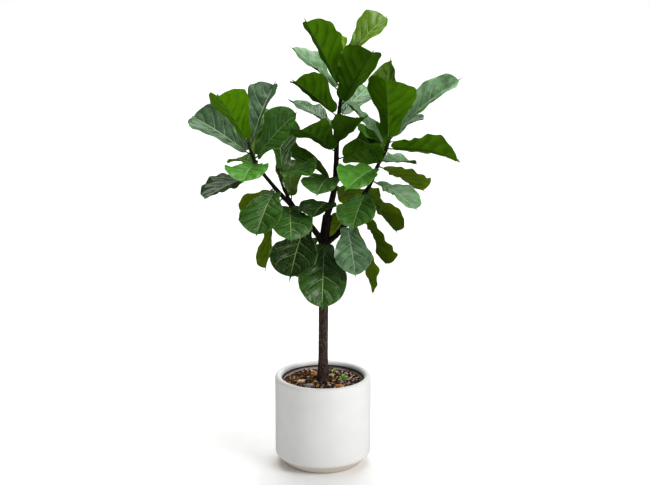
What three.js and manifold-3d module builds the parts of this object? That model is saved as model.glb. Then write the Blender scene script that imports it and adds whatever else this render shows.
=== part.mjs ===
// Fiddle leaf fig (Ficus lyrata) grown as a small standard tree, standing in its nursery pot
// inside a round white planter.
//
// Millimetres, +Z up. The origin is the centre of the planter's foot, on the floor. The tree's
// front is the -Y side and +X is its right.
//
// One mesh for each piece: planter, nursery pot, soil, stones, seedlings, the wood (trunk and
// branches, which are one growth), and every leaf by itself.

import * as THREE from 'three';
import { mergeVertices } from 'three/addons/utils/BufferGeometryUtils.js';
import Module from 'manifold-3d';

const wasm = await Module();
wasm.setup();

// ---------------------------------------------------------------- driving dimensions

// Clearance between two pieces that touch.
const GAP = 0.3;

// Facets around the planter, the nursery pot and the soil.
const ROUND = 48;

// Planter: a straight round wall on a foot with a chamfer, and a rolled lip.
const POT = {
  radius: 180,
  height: 341,
  wall: 24,
  floor: 24,
  footRadius: 141,
  chamferRadius: 171,
  chamferTop: 31,
  shoulder: 14,
};

// Nursery pot: a thin tapered liner that stands on the planter's floor.
const LINER = {
  topRadius: 153,
  baseRadius: 126,
  top: 327,
  wall: 3,
};

// Soil: a plug that fills the nursery pot, a little higher around the trunk.
const SOIL = {
  edgeLevel: 313,
  crownLevel: 318,
  crownRadius: 45,
};

// Trunk foot: the straight stretch that stands in the soil, and the shares of the trunk's length
// where its flare starts to draw in and how long it takes.
const ROOT = {
  bottom: 150,
  radius: 24,
  flareStart: 0.2,
  flareLength: 0.12,
};

// Facets around the trunk and around a branch, and the length of one step along them.
const TRUNK_SIDES = 14;
const BRANCH_SIDES = 10;
const STEP = 38;

// Wood: the centre line of each stem and its radius where it starts and where it ends.
const STEMS = {
  trunk: {
    from: ROOT.radius,
    to: 17.5,
    points: [[0, 0, ROOT.bottom], [0, 0, 300], [2, 2, 600], [3, 0, 760], [6, 1, 870], [17, 7, 950]],
  },
  leader: {
    from: 15,
    to: 5,
    points: [
      [3, 0, 760], [4, 0, 880], [14, 6, 940], [38, 12, 1026], [46, 12, 1100], [50, 8, 1210],
      [54, 6, 1283], [63, 8, 1370], [72, 12, 1463], [80, 16, 1530],
    ],
  },
  left: {
    from: 12,
    to: 5,
    points: [
      [3, 0, 800], [-4, -2, 850], [-30, -10, 895], [-66, -22, 944], [-122, -40, 1004],
      [-189, -55, 1084], [-240, -62, 1155], [-260, -62, 1205], [-268, -60, 1245],
    ],
  },
  inner: {
    from: 7,
    to: 4.5,
    points: [[-100, -34, 985], [-130, -30, 1030], [-150, -10, 1070], [-163, 5, 1125]],
  },
  right: {
    from: 12,
    to: 5,
    points: [
      [2, 0, 780], [10, -2, 838], [60, -8, 888], [106, -16, 963], [142, -22, 1022],
      [175, -26, 1078], [196, -26, 1137], [212, -24, 1166], [236, -22, 1221], [246, -18, 1275],
    ],
  },
};

// Leaf: blade thickness, and how far the midrib stands out of the under face at its base.
const LEAF = {
  thickness: 2,
  rib: 1.6,
};

// Petiole: its length, but no more than `most` of the blade's, and the shares of that length
// where its second ring is, that it runs square to the bark, and that it runs with the blade.
const PETIOLE = {
  radius: 2.6,
  length: 24,
  most: 0.15,
  elbow: 0.35,
  square: 0.3,
  slant: 0.75,
};

// Outline of a blade: its round neck, the waist above it, and the place where it is widest.
const OUTLINE = {
  neck: 0.12,
  waist: 0.46,
  widest: 0.66,
};

// Waves of a blade's margins: their height and how many there are, the phase from one leaf to
// the next and from the right margin to the left one, and where they are full, start to fade
// and would be gone.
const WAVES = {
  height: 9,
  count: 1.4,
  leafPhase: 2.4,
  marginPhase: 2,
  full: 0.4,
  fade: 0.85,
  gone: 1.15,
};

// Places along a blade (0 base, 1 tip) and across it (-1 right margin, 1 left margin).
const STATIONS = [0.06, 0.2, 0.36, 0.52, 0.68, 0.83, 0.95];
const ACROSS = [-1, -0.5, 0, 0.5, 1];

// Leaves, stem by stem. Each row is: place along the stem (0 foot, 1 end), heading of the blade
// seen from above (0 is +X, 90 is +Y), rise of the blade above the level, blade length, blade
// width, bend of the blade down along its length, lift of its two halves up from the midrib, and
// roll about the midrib. Lengths in millimetres, angles in degrees.
const LEAVES = {
  leader: [
    [0.86, 214, 59, 252, 172, 15, 38, -24],
    [0.98, 14, 46.5, 188, 128, 35, 31, -40],
    [0.99, 110, 72, 72, 38, 10, 30, 0],
    [0.84, 160, 39, 208, 112, 15, 20, 12],
    [0.78, 317, 54, 220, 195, 10, 35, 28],
    [0.725, 217, 36, 203, 158, 20, 38, -33],
    [0.655, 138, 20, 212, 118, 20, 16, -3],
    [0.6, 290, 32, 195, 138, 20, 14, 0],
    [0.72, 60, 20, 205, 140, 25, 14, -20],
    [0.56, 238, 25, 222, 155, 25, 16, -22],
    [0.52, 25, 12, 190, 190, 20, 14, 72],
    [0.41, 145, 22, 212, 160, 25, 14, -45],
    [0.42, 254, -5, 206, 158, 55, 14, 0],
    [0.385, 52, -34, 205, 175, 25, 14, 20],
    [0.31, 252, -5, 182, 146, 30, 14, 0],
  ],
  trunk: [
    [0.875, 268, -38, 276, 180, 25, 14, 0],
    [0.9, 160, -66, 168, 110, 25, 14, -25],
  ],
  left: [
    [0.98, 240, 46, 234, 168, 15, 35, -18],
    [0.9, 150, 25, 247, 165, 20, 33, 36],
    [0.96, 58, 52, 225, 158, 20, 38, 3],
    [0.86, 325, 44, 232, 146, 20, 20, -75],
    [0.8, 122, 0, 140, 115, 20, 14, 12],
    [0.88, 86, 38, 205, 115, 20, 14, 0],
    [0.82, 262, -5, 220, 158, 25, 14, 0],
    [0.74, 222, -12, 238, 160, 25, 14, 0],
    [0.6, 255, -28, 228, 166, 25, 14, 0],
    [0.61, 134, -43, 160, 130, 25, 14, -18],
    [0.52, 166, -78, 245, 135, 20, 12, -6],
    [0.46, 273, -21, 210, 162, 25, 14, 0],
    [0.28, 254, -40, 222, 180, 25, 14, 0],
  ],
  inner: [
    [0.74, 305, 10, 182, 135, 50, 14, -20],
    [0.88, 120, 72, 200, 160, 20, 20, -10],
    [0.21, 98, 48, 150, 108, 25, 14, 0],
  ],
  right: [
    [0.93, 262, 61, 234, 203, 20, 26, 16],
    [0.98, 3, 38.5, 275, 132, 20, 38, -40],
    [0.93, 59, 19, 168, 140, 20, 14, 0],
    [0.87, 326, -3, 260, 170, 25, 18, 38],
    [0.78, 55, -9, 178, 120, 5, 14, -15],
    [0.74, 37, -29, 216, 152, 20, 14, 15],
    [0.64, 309, -17, 212, 128, 25, 14, 0],
    [0.55, 46, -48, 208, 132, 25, 12, 0],
    [0.43, 38, -61, 240, 150, 20, 12, -8],
    [0.34, 42, -71, 290, 98, 20, 12, -20],
    [0.88, 166, 46, 186, 95, 20, 14, 5],
    [0.79, 236, 40, 172, 90, 20, 20, 35],
    [0.76, 253, 29, 172, 105, 20, 20, 20],
    [0.98, 86, 68, 240, 150, 20, 20, 50],
    [0.55, 256, -23, 204, 146, 25, 14, 0],
    [0.3, 278, -34, 224, 138, 25, 14, 0],
    [0.72, 240, -11, 196, 160, 25, 25, 16],
    [0.42, 125, -43, 192, 125, 25, 14, 0],
  ],
};

// Stones that lie half sunk in the soil: centre, half axes and how far each is turned.
const STONES = [
  { name: 'stone_brown', at: [-33, 58, 319], half: [16, 14, 12], turned: -20, colour: 0x8a6a4a },
  { name: 'stone_tan', at: [-80, -16, 315], half: [20, 14, 8], turned: 10, colour: 0xa98a66 },
  { name: 'stone_grey', at: [-51, -60, 315], half: [22, 12, 8], turned: -10, colour: 0x77746c },
];

// Seedlings that came up in the soil: foot, height, number of leaves and leaf length.
const SEEDLINGS = [
  { name: 'seedling_front', at: [75, -44], height: 32, leaves: 11, long: 24 },
  { name: 'seedling_back', at: [42, 68], height: 20, leaves: 7, long: 18 },
];

// Seedling: stem radius and depth in the soil; its leaves' width as a share of their length and
// their half thickness; their rise, which grows by a step over `cycle` leaves; the turn from one
// leaf to the next; how far below the stem's end the first one sits; and the share of the height
// that all of them are spread over. Lengths in millimetres, angles in degrees.
const SPROUT = {
  radius: 1.5,
  depth: 12,
  sides: 8,
  width: 0.4,
  half: 0.8,
  rise: 20,
  riseStep: 6,
  cycle: 3,
  turn: 137.5,
  below: 3,
  spread: 0.45,
};

// How far the tools that cut holes reach out of the soil.
const REACH = 20;

// ---------------------------------------------------------------- materials

const finish = (color, roughness) => new THREE.MeshStandardMaterial({ color, roughness, metalness: 0 });

const potGlaze = finish(0xe6e5e0, 0.55);
const linerPlastic = finish(0x4a4648, 0.6);
const soilMix = finish(0x3a2c22, 0.95);
const bark = finish(0x3d2b20, 0.9);
const leafGreen = finish(0x2f5a28, 0.4);
const seedlingGreen = finish(0x5f8f3a, 0.6);

// ---------------------------------------------------------------- solids and meshes

/** Closed three.js geometry as a solid that can be joined and cut. */
function toSolid(geometry) {
  const bare = geometry.clone();
  bare.deleteAttribute('normal');
  bare.deleteAttribute('uv');
  const merged = mergeVertices(bare);
  const vertProperties = new Float32Array(merged.attributes.position.array);
  const triVerts = new Uint32Array(merged.index.array);
  return new wasm.Manifold(new wasm.Mesh({ numProp: 3, vertProperties, triVerts }));
}

/** Solid back as three.js geometry. */
function toGeometry(solid) {
  const mesh = solid.getMesh();
  const geometry = new THREE.BufferGeometry();
  geometry.setAttribute('position', new THREE.BufferAttribute(mesh.vertProperties, 3));
  geometry.setIndex(new THREE.BufferAttribute(mesh.triVerts, 1));
  return geometry;
}

/** Named mesh with plain facets. */
function piece(name, geometry, material) {
  const mesh = new THREE.Mesh(geometry, material);
  mesh.name = name;
  return mesh;
}

/** Body of revolution about Z from [radius, level] points, listed from the foot outwards. */
function turned(profile, sides = ROUND) {
  const points = profile.map(([radius, level]) => new THREE.Vector2(radius, level));
  const geometry = new THREE.LatheGeometry(points, sides);
  geometry.rotateX(Math.PI / 2);
  return geometry;
}

/** Quarter turn of a profile from one angle to another, in degrees, about a centre. */
function arc(radius, level, size, fromAngle, toAngle, steps) {
  const points = [];
  for (let i = 0; i <= steps; i += 1) {
    const angle = THREE.MathUtils.degToRad(fromAngle + ((toAngle - fromAngle) * i) / steps);
    points.push([radius + size * Math.cos(angle), level + size * Math.sin(angle)]);
  }
  return points;
}

/**
 * Closed skin over a row of rings that all have the same number of points. The rings turn
 * counter-clockwise seen along the way they follow each other. `swap(k)` tells which strips
 * are split along their other diagonal.
 */
function skin(rings, start, end, swap = () => false) {
  const count = rings[0].length;
  const points = [...rings.flat(), start, end];
  const startIndex = points.length - 2;
  const endIndex = points.length - 1;
  const index = [];
  for (let i = 0; i + 1 < rings.length; i += 1) {
    for (let k = 0; k < count; k += 1) {
      const next = (k + 1) % count;
      const [a, b, c, d] = [i * count + k, i * count + next, (i + 1) * count + next, (i + 1) * count + k];
      index.push(...(swap(k) ? [a, d, b, d, c, b] : [a, d, c, a, c, b]));
    }
  }
  const last = (rings.length - 1) * count;
  for (let k = 0; k < count; k += 1) {
    const next = (k + 1) % count;
    index.push(startIndex, k, next);
    index.push(endIndex, last + next, last + k);
  }
  const geometry = new THREE.BufferGeometry();
  const positions = points.flatMap((point) => [point.x, point.y, point.z]);
  geometry.setAttribute('position', new THREE.BufferAttribute(new Float32Array(positions), 3));
  geometry.setIndex(index);
  return geometry;
}

/** Ring of points around a centre, in the plane of two unit directions. */
function ring(centre, first, second, radius, count, turn = 0) {
  const points = [];
  for (let k = 0; k < count; k += 1) {
    const angle = turn + (2 * Math.PI * k) / count;
    const point = centre.clone();
    point.addScaledVector(first, radius * Math.cos(angle));
    point.addScaledVector(second, radius * Math.sin(angle));
    points.push(point);
  }
  return points;
}

/** Smooth step from 0 to 1 as x goes from 0 to 1. */
function ease(x) {
  const t = THREE.MathUtils.clamp(x, 0, 1);
  return t * t * (3 - 2 * t);
}

// ---------------------------------------------------------------- planter, nursery pot, soil

/** Planter: flat foot, chamfer, straight wall and a rolled lip over a plain round hollow. */
function planter() {
  const lip = POT.wall / 2;
  const inner = POT.radius - POT.wall;
  return turned([
    [0, 0],
    [POT.footRadius, 0],
    [POT.chamferRadius, POT.chamferTop],
    ...arc(POT.radius - POT.shoulder, POT.chamferTop + POT.shoulder, POT.shoulder, -50, 0, 3),
    ...arc(POT.radius - lip, POT.height - lip, lip, 0, 180, 8),
    [inner, POT.floor],
    [0, POT.floor],
  ]);
}

/** Radius of the nursery pot's inside at a level. */
function linerInside(level) {
  const low = POT.floor + GAP;
  const share = (level - low) / (LINER.top - low);
  return LINER.baseRadius + (LINER.topRadius - LINER.baseRadius) * share - LINER.wall;
}

/** Nursery pot: thin floor and a tapered wall with a flat rim. */
function liner() {
  const low = POT.floor + GAP;
  return turned([
    [0, low],
    [LINER.baseRadius, low],
    [LINER.topRadius, LINER.top],
    [LINER.topRadius - LINER.wall, LINER.top],
    [linerInside(low + LINER.wall), low + LINER.wall],
    [0, low + LINER.wall],
  ]);
}

/** Stone: a rounded lump with its own half axes, grown all round by `extra`. */
function stoneBody({ at, half, turned }, extra = 0) {
  const body = new THREE.IcosahedronGeometry(1, 1);
  body.scale(half[0] + extra, half[1] + extra, half[2] + extra);
  body.rotateZ(THREE.MathUtils.degToRad(turned));
  body.translate(...at);
  return body;
}

/** Soil: a plug with a low crown, a plain hole for the trunk and sockets for what lies in it. */
function soil() {
  const low = POT.floor + GAP + LINER.wall + GAP;
  const plug = turned([
    [0, low],
    [linerInside(low) - GAP, low],
    [linerInside(SOIL.edgeLevel) - GAP, SOIL.edgeLevel],
    [(LINER.topRadius + SOIL.crownRadius) / 2, (SOIL.edgeLevel + SOIL.crownLevel) / 2],
    [SOIL.crownRadius, SOIL.crownLevel],
    [0, SOIL.crownLevel],
  ]);
  let body = toSolid(plug).subtract(toSolid(rootHole()));
  for (const stone of STONES) {
    body = body.subtract(toSolid(stoneBody(stone, 2 * GAP)));
  }
  for (const seedling of SEEDLINGS) {
    body = body.subtract(toSolid(seedlingHole(seedling)));
  }
  return toGeometry(body);
}

/** Plain hole that the trunk's foot stands in. */
function rootHole() {
  const radius = ROOT.radius + GAP / Math.cos(Math.PI / TRUNK_SIDES);
  const up = new THREE.Vector3(0, 0, 1);
  const [first, second] = acrossOf(up);
  const low = new THREE.Vector3(0, 0, ROOT.bottom - GAP);
  const high = new THREE.Vector3(0, 0, SOIL.crownLevel + REACH);
  const rings = [low, high].map((centre) => ring(centre, first, second, radius, TRUNK_SIDES));
  return skin(rings, low, high);
}

// ---------------------------------------------------------------- wood

const stemCurves = Object.fromEntries(
  Object.entries(STEMS).map(([name, { points }]) => {
    const places = points.map((point) => new THREE.Vector3(...point));
    return [name, new THREE.CatmullRomCurve3(places, false, 'centripetal')];
  }),
);

/** Two unit directions square to an axis, the second one as near to +X as it can be. */
function acrossOf(axis) {
  const first = new THREE.Vector3().crossVectors(axis, new THREE.Vector3(1, 0, 0)).normalize();
  const second = new THREE.Vector3().crossVectors(first, axis).normalize();
  return [first, second];
}

/** Radius of a stem at a place along it, with the trunk's flare just above the soil. */
function stemRadius(name, place) {
  const { from, to } = STEMS[name];
  if (name !== 'trunk') {
    return from + (to - from) * place;
  }
  const drawnIn = ease((place - ROOT.flareStart) / ROOT.flareLength);
  return from + (to - from) * drawnIn;
}

/** How many steps a stem is made of. */
function stemSteps(name) {
  return Math.round(stemCurves[name].getLength() / STEP);
}

/** Centre, direction and radius of a stem at a place, taken between the two rings around it. */
function stemAt(name, place) {
  const curve = stemCurves[name];
  const steps = stemSteps(name);
  const step = Math.min(Math.floor(place * steps), steps - 1);
  const [lowPlace, highPlace] = [step / steps, (step + 1) / steps];
  const [low, high] = [curve.getPointAt(lowPlace), curve.getPointAt(highPlace)];
  const share = place * steps - step;
  return {
    centre: low.clone().lerp(high, share),
    direction: high.clone().sub(low).normalize(),
    radius: Math.max(stemRadius(name, lowPlace), stemRadius(name, highPlace)),
  };
}

/** One stem: rings along its centre line, square to it. */
function stemBody(name) {
  const curve = stemCurves[name];
  const sides = name === 'trunk' ? TRUNK_SIDES : BRANCH_SIDES;
  const steps = stemSteps(name);
  const rings = [];
  for (let i = 0; i <= steps; i += 1) {
    const place = i / steps;
    const [first, second] = acrossOf(curve.getTangentAt(place));
    rings.push(ring(curve.getPointAt(place), first, second, stemRadius(name, place), sides));
  }
  return skin(rings, curve.getPointAt(0), curve.getPointAt(1));
}

/** Wood: the trunk and its branches grown together as one solid. */
function wood() {
  const bodies = Object.keys(STEMS).map((name) => toSolid(stemBody(name)));
  return toGeometry(bodies.reduce((whole, body) => whole.add(body)));
}

// ---------------------------------------------------------------- leaves

/** Half width of a blade at a place along it, as a share of its greatest half width. */
function outline(u) {
  const { neck, waist, widest } = OUTLINE;
  if (u < neck) {
    return waist * Math.sqrt(1 - (1 - u / neck) ** 2);
  }
  if (u < widest) {
    return waist + (1 - waist) * ease((u - neck) / (widest - neck));
  }
  return Math.sqrt(Math.max(0, 1 - ((u - widest) / (1 - widest)) ** 2));
}

/** How far a margin is waved out of the blade at a place along it. */
function marginWave(u, isLeft, number) {
  const grown = ease(u / WAVES.full);
  const left = 1 - ease((u - WAVES.fade) / (WAVES.gone - WAVES.fade));
  const phase = WAVES.leafPhase * number + (isLeft ? WAVES.marginPhase : 0);
  return WAVES.height * grown * left * Math.sin(2 * Math.PI * WAVES.count * u + phase);
}

/** Unit direction at an angle from `first`, turned towards `second`. */
function between(first, second, angle) {
  return first.clone().multiplyScalar(Math.cos(angle)).addScaledVector(second, Math.sin(angle));
}

/** Unit direction square to an axis, as near as can be to another direction. */
function squareTo(axis, direction) {
  return direction.clone().addScaledVector(axis, -direction.dot(axis)).normalize();
}

/** Directions of a blade: along its chord, out of its upper face, and to its left. */
function bladeAxes(heading, rise, roll) {
  const [h, r, t] = [heading, rise, roll].map(THREE.MathUtils.degToRad);
  const ahead = between(new THREE.Vector3(1, 0, 0), new THREE.Vector3(0, 1, 0), h);
  const plumb = new THREE.Vector3(0, 0, 1);
  const along = between(ahead, plumb, r);
  const level = between(plumb, ahead, -r);
  const side = new THREE.Vector3().crossVectors(level, along);
  const up = between(level, side, t);
  const left = new THREE.Vector3().crossVectors(up, along);
  return { along, up, left };
}

/**
 * Frame of a leaf: its foot on the bark and the way out of the bark, the base of its blade, the
 * blade's directions and sizes, and the angle that its midrib bends through.
 */
function leafFrame(stem, [place, heading, rise, long, wide, bend, lift, roll]) {
  const { along, up, left } = bladeAxes(heading, rise, roll);
  const { centre, direction, radius } = stemAt(stem, place);
  const out = squareTo(direction, along);
  const foot = centre.addScaledVector(out, radius + GAP);
  const turn = THREE.MathUtils.degToRad(bend);
  const stalk = Math.min(PETIOLE.length, long * PETIOLE.most);
  const base = foot.clone();
  base.addScaledVector(out, stalk * PETIOLE.square);
  base.addScaledVector(between(along, up, turn / 2), stalk * PETIOLE.slant);
  return { foot, out, stalk, base, along, up, left, long, wide, turn, lift: THREE.MathUtils.degToRad(lift) };
}

/** Way out of a blade's upper face at a place along it. */
function faceAt({ along, up, turn }, u) {
  return between(up, along, turn * (u - 0.5));
}

/** Midrib of a blade: an arc from its base to its tip. */
function midribAt({ base, along, up, long, turn }, u) {
  const angle = turn * (0.5 - u);
  const point = base.clone();
  point.addScaledVector(along, (long / turn) * (Math.sin(turn / 2) - Math.sin(angle)));
  point.addScaledVector(up, (long / turn) * (Math.cos(angle) - Math.cos(turn / 2)));
  return point;
}

/** Middle layer of a blade, halfway between its two faces. */
function bladeAt(frame, u, v, number) {
  const half = (frame.wide / 2) * outline(u);
  const raised = Math.abs(v) * half * Math.sin(frame.lift);
  const waved = v * v * marginWave(u, v > 0, number);
  const point = midribAt(frame, u);
  point.addScaledVector(frame.left, v * half * Math.cos(frame.lift));
  point.addScaledVector(faceAt(frame, u), raised + waved);
  return point;
}

/** Ring around a blade: its upper face from right to left, then its under face back again. */
function bladeRing(frame, u, number) {
  const face = faceAt(frame, u);
  const middle = ACROSS.map((v) => bladeAt(frame, u, v, number));
  const top = middle.map((point) => point.clone().addScaledVector(face, LEAF.thickness / 2));
  const under = middle.map((point, i) => {
    const rib = ACROSS[i] === 0 ? LEAF.rib * (1 - u) : 0;
    return point.clone().addScaledVector(face, -LEAF.thickness / 2 - rib);
  });
  return [...top, ...under.reverse()];
}

/** Rings of a petiole, turned so that each corner meets the corner of the blade's first ring. */
function petioleRings({ foot, out, stalk, base, along, up, left, turn }) {
  const count = 2 * ACROSS.length;
  const start = (-Math.PI * (ACROSS.length - 1)) / count;
  const slant = between(along, up, turn / 2);
  const elbow = foot.clone().addScaledVector(out, stalk * PETIOLE.elbow);
  const middle = out.clone().add(slant).normalize();
  return [[foot, out], [elbow, middle], [base, slant]].map(([centre, way]) => {
    const second = squareTo(way, left);
    const first = new THREE.Vector3().crossVectors(way, second);
    return ring(centre, first, second, PETIOLE.radius, count, start);
  });
}

/**
 * Leaf: a round petiole that leaves the bark square to it, and a thin blade whose midrib bends
 * evenly, whose halves lift from the midrib, and whose margins wave.
 */
function leaf(stem, row, number) {
  const frame = leafFrame(stem, row);
  const rings = [...petioleRings(frame), ...STATIONS.map((u) => bladeRing(frame, u, number))];
  const isUnder = (strip) => strip >= ACROSS.length && strip < 2 * ACROSS.length - 1;
  return skin(rings, frame.foot, midribAt(frame, 1), isUnder);
}

// ---------------------------------------------------------------- seedlings

/** Upright round rod between two levels. */
function upright([x, y], low, high, radius) {
  const rod = new THREE.CylinderGeometry(radius, radius, high - low, SPROUT.sides);
  rod.rotateX(Math.PI / 2);
  rod.translate(x, y, (low + high) / 2);
  return rod;
}

/** Hole in the soil for a seedling's stem. */
function seedlingHole({ at }) {
  return upright(at, SOIL.edgeLevel - SPROUT.depth, SOIL.crownLevel + REACH, SPROUT.radius + GAP);
}

/** One small leaf of a seedling, grown out of its stem. */
function sproutLeaf({ at, height, leaves, long }, number) {
  const blade = new THREE.SphereGeometry(1, 8, 5);
  const rise = SPROUT.rise + SPROUT.riseStep * (number % SPROUT.cycle);
  const level = SOIL.crownLevel + height - SPROUT.below - (SPROUT.spread * height * number) / leaves;
  blade.scale(long / 2, (long * SPROUT.width) / 2, SPROUT.half);
  blade.translate(long / 2, 0, 0);
  blade.rotateY(THREE.MathUtils.degToRad(-rise));
  blade.rotateZ(THREE.MathUtils.degToRad(SPROUT.turn * number));
  blade.translate(at[0], at[1], level);
  return blade;
}

/** Seedling: a short stem with a rosette of small leaves grown on it. */
function seedling(sprout) {
  const low = SOIL.edgeLevel - SPROUT.depth + GAP;
  let body = toSolid(upright(sprout.at, low, SOIL.crownLevel + sprout.height, SPROUT.radius));
  for (let i = 0; i < sprout.leaves; i += 1) {
    body = body.add(toSolid(sproutLeaf(sprout, i)));
  }
  return toGeometry(body);
}

// ---------------------------------------------------------------- the whole plant

const group = new THREE.Group();
group.add(piece('pot', planter(), potGlaze));
group.add(piece('grow_pot', liner(), linerPlastic));
group.add(piece('soil', soil(), soilMix));
for (const stone of STONES) {
  group.add(piece(stone.name, stoneBody(stone), finish(stone.colour, 0.85)));
}
for (const sprout of SEEDLINGS) {
  group.add(piece(sprout.name, seedling(sprout), seedlingGreen));
}
group.add(piece('wood', wood(), bark));
let leafNumber = 0;
for (const [stem, rows] of Object.entries(LEAVES)) {
  rows.forEach((row, index) => {
    leafNumber += 1;
    const name = `leaf_${stem}_${String(index + 1).padStart(2, '0')}`;
    group.add(piece(name, leaf(stem, row, leafNumber), leafGreen));
  });
}

export default group;
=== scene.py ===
"""Potted fiddle leaf fig: the visible plant, its soil, its nursery pot and its planter.

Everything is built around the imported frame, in metres, with +Z up. The origin is the centre of the
planter's foot, the tree's front is -Y and its right is +X.
"""

import itertools
import logging
import math
from dataclasses import dataclass, field
from enum import Enum

import bpy
import numpy as np
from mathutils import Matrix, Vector


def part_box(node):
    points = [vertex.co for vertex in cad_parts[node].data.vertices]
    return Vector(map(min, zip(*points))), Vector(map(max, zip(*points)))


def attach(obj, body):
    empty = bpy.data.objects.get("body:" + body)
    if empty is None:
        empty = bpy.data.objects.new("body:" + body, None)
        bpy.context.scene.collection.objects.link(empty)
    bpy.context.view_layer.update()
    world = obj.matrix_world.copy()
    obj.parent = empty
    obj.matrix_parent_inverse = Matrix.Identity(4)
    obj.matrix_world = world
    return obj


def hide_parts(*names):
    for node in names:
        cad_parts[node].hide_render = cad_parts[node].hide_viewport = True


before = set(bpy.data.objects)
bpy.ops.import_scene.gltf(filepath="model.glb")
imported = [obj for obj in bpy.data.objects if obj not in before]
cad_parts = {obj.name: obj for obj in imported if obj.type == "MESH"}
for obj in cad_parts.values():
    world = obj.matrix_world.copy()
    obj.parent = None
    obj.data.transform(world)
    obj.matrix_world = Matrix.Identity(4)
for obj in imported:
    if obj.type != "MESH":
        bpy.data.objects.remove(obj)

Array = np.ndarray
Socket = bpy.types.NodeSocket
log = logging.getLogger("fiddle_leaf_fig")

MM = 0.001
MERGE_STEP = 0.001 * MM
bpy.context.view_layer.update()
BODY = "root"
BLADE_MAP = "blade"
TINT = "tint"

# Sockets of the colour mixing node.
MIX_FACTOR, MIX_FROM, MIX_TO, MIX_OUT = 0, 6, 7, 2

# Corners of a row of five across the frame's blade: its margins, the places halfway out, its midrib.
MARGINS, HALFWAY, MIDRIB = [0, 4], [1, 3], 2

# Top and bottom of the unit ball.
POLES = np.array([[0.0, 0.0, 1.0], [0.0, 0.0, -1.0]])


# ---------------------------------------------------------------- small mathematics


def unit(vectors: Array) -> Array:
    """Vectors scaled to length 1, along the last axis."""
    return vectors / np.linalg.norm(vectors, axis=-1, keepdims=True)


def ease(x: Array, low: float = 0.0, high: float = 1.0) -> Array:
    """Smooth step from 0 to 1 as x goes from low to high: 3t squared less 2t cubed.

    Args:
        x: Where to read the step.
        low: The step starts here.
        high: The step ends here.

    Returns:
        The step's height at each x.
    """
    t = np.clip((np.asarray(x, float) - low) / (high - low), 0.0, 1.0)
    return t * t * (3.0 - 2.0 * t)


def through(x: Array, knots: Array, values: Array) -> Array:
    """Smooth curve through given values: cubic Hermite pieces whose slopes are the mean slopes.

    Args:
        x: Where to read the curve.
        knots: Rising places that have a value.
        values: The value at each knot.

    Returns:
        The curve's height at each x.
    """
    slopes = np.gradient(values, knots)
    i = np.clip(np.searchsorted(knots, x) - 1, 0, len(knots) - 2)
    step = knots[i + 1] - knots[i]
    t = np.clip((x - knots[i]) / step, 0.0, 1.0)
    start = values[i] * (1 + 2 * t) * (1 - t) ** 2 + values[i + 1] * t * t * (3 - 2 * t)
    return start + step * (slopes[i] * t * (1 - t) ** 2 - slopes[i + 1] * t * t * (1 - t))


def circle(count: int) -> Array:
    """Angles of that many equal steps once around."""
    return np.linspace(0, 2 * math.pi, count, endpoint=False)


def ball_rings(rows: int, columns: int) -> Array:
    """Rings of the unit ball, without its poles.

    Args:
        rows: Number of rings.
        columns: Points in a ring.

    Returns:
        The points, from the top ring to the bottom one.
    """
    level = np.pi * (np.arange(rows) + 1)[:, None] / (rows + 1)
    turn = circle(columns)
    height = np.repeat(np.cos(level), columns, axis=1)
    return np.stack([np.sin(level) * np.cos(turn), np.sin(level) * np.sin(turn), height], axis=-1)


class LatticeNoise:
    """Smooth random field: random numbers on a cubic lattice, blended by an eased linear rule."""

    def __init__(self, seed: int, size: int = 48) -> None:
        """Draws the lattice.

        Args:
            seed: Seed of the random numbers.
            size: Cells along one side, after which the field repeats.
        """
        self.size = size
        self.table = np.random.default_rng(seed).uniform(-1.0, 1.0, (size, size, size))

    def at(self, points: Array, grain: float) -> Array:
        """One layer of the field.

        Args:
            points: Points to read, three numbers along the last axis.
            grain: Size of one cell of the lattice, in metres.

        Returns:
            A number from -1 to 1 for each point.
        """
        cell = np.floor(points / grain).astype(int)
        t = ease(points / grain - cell)
        total = np.zeros(points.shape[:-1])
        for corner in itertools.product((0, 1), repeat=3):
            weight = np.prod(np.where(corner, t, 1.0 - t), axis=-1)
            x, y, z = np.moveaxis((cell + corner) % self.size, -1, 0)
            total += weight * self.table[x, y, z]
        return total

    def layered(self, points: Array, grain: float, layers: int) -> Array:
        """Sum of layers, each with half the grain and half the height of the one before.

        Args:
            points: Points to read.
            grain: Grain of the first layer, in metres.
            layers: Number of layers.

        Returns:
            A number for each point, mostly from -1 to 1.
        """
        return sum(self.at(points + k, grain / 2**k) / 2**k for k in range(layers))


# ---------------------------------------------------------------- meshes


@dataclass
class Skin:
    """One closed surface.

    Attributes:
        points: Corner points, one row each.
        faces: Four corner numbers a face, with -1 last in a triangle.
        uv: Place of each point on the surface's own map.
        finish: Number of each face's material in its piece.
        tint: A number from 0 to 1 for each point, which a material may read.
    """

    points: Array
    faces: Array
    uv: Array
    finish: Array
    tint: Array

    def outward(self) -> "Skin":
        """Turns every face over if the surface encloses a negative volume.

        Returns:
            This surface.
        """
        a, b, c, d = (self.points[self.faces[:, k]] for k in range(4))
        d = np.where(self.faces[:, 3:] < 0, a, d)
        volume = np.einsum("ij,ij->", a, np.cross(b, c)) + np.einsum("ij,ij->", a, np.cross(c, d))
        if volume < 0:
            is_triangle = self.faces[:, 3] < 0
            self.faces = self.faces[:, ::-1].copy()
            self.faces[is_triangle] = np.roll(self.faces[is_triangle], -1, axis=1)
        return self


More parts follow.
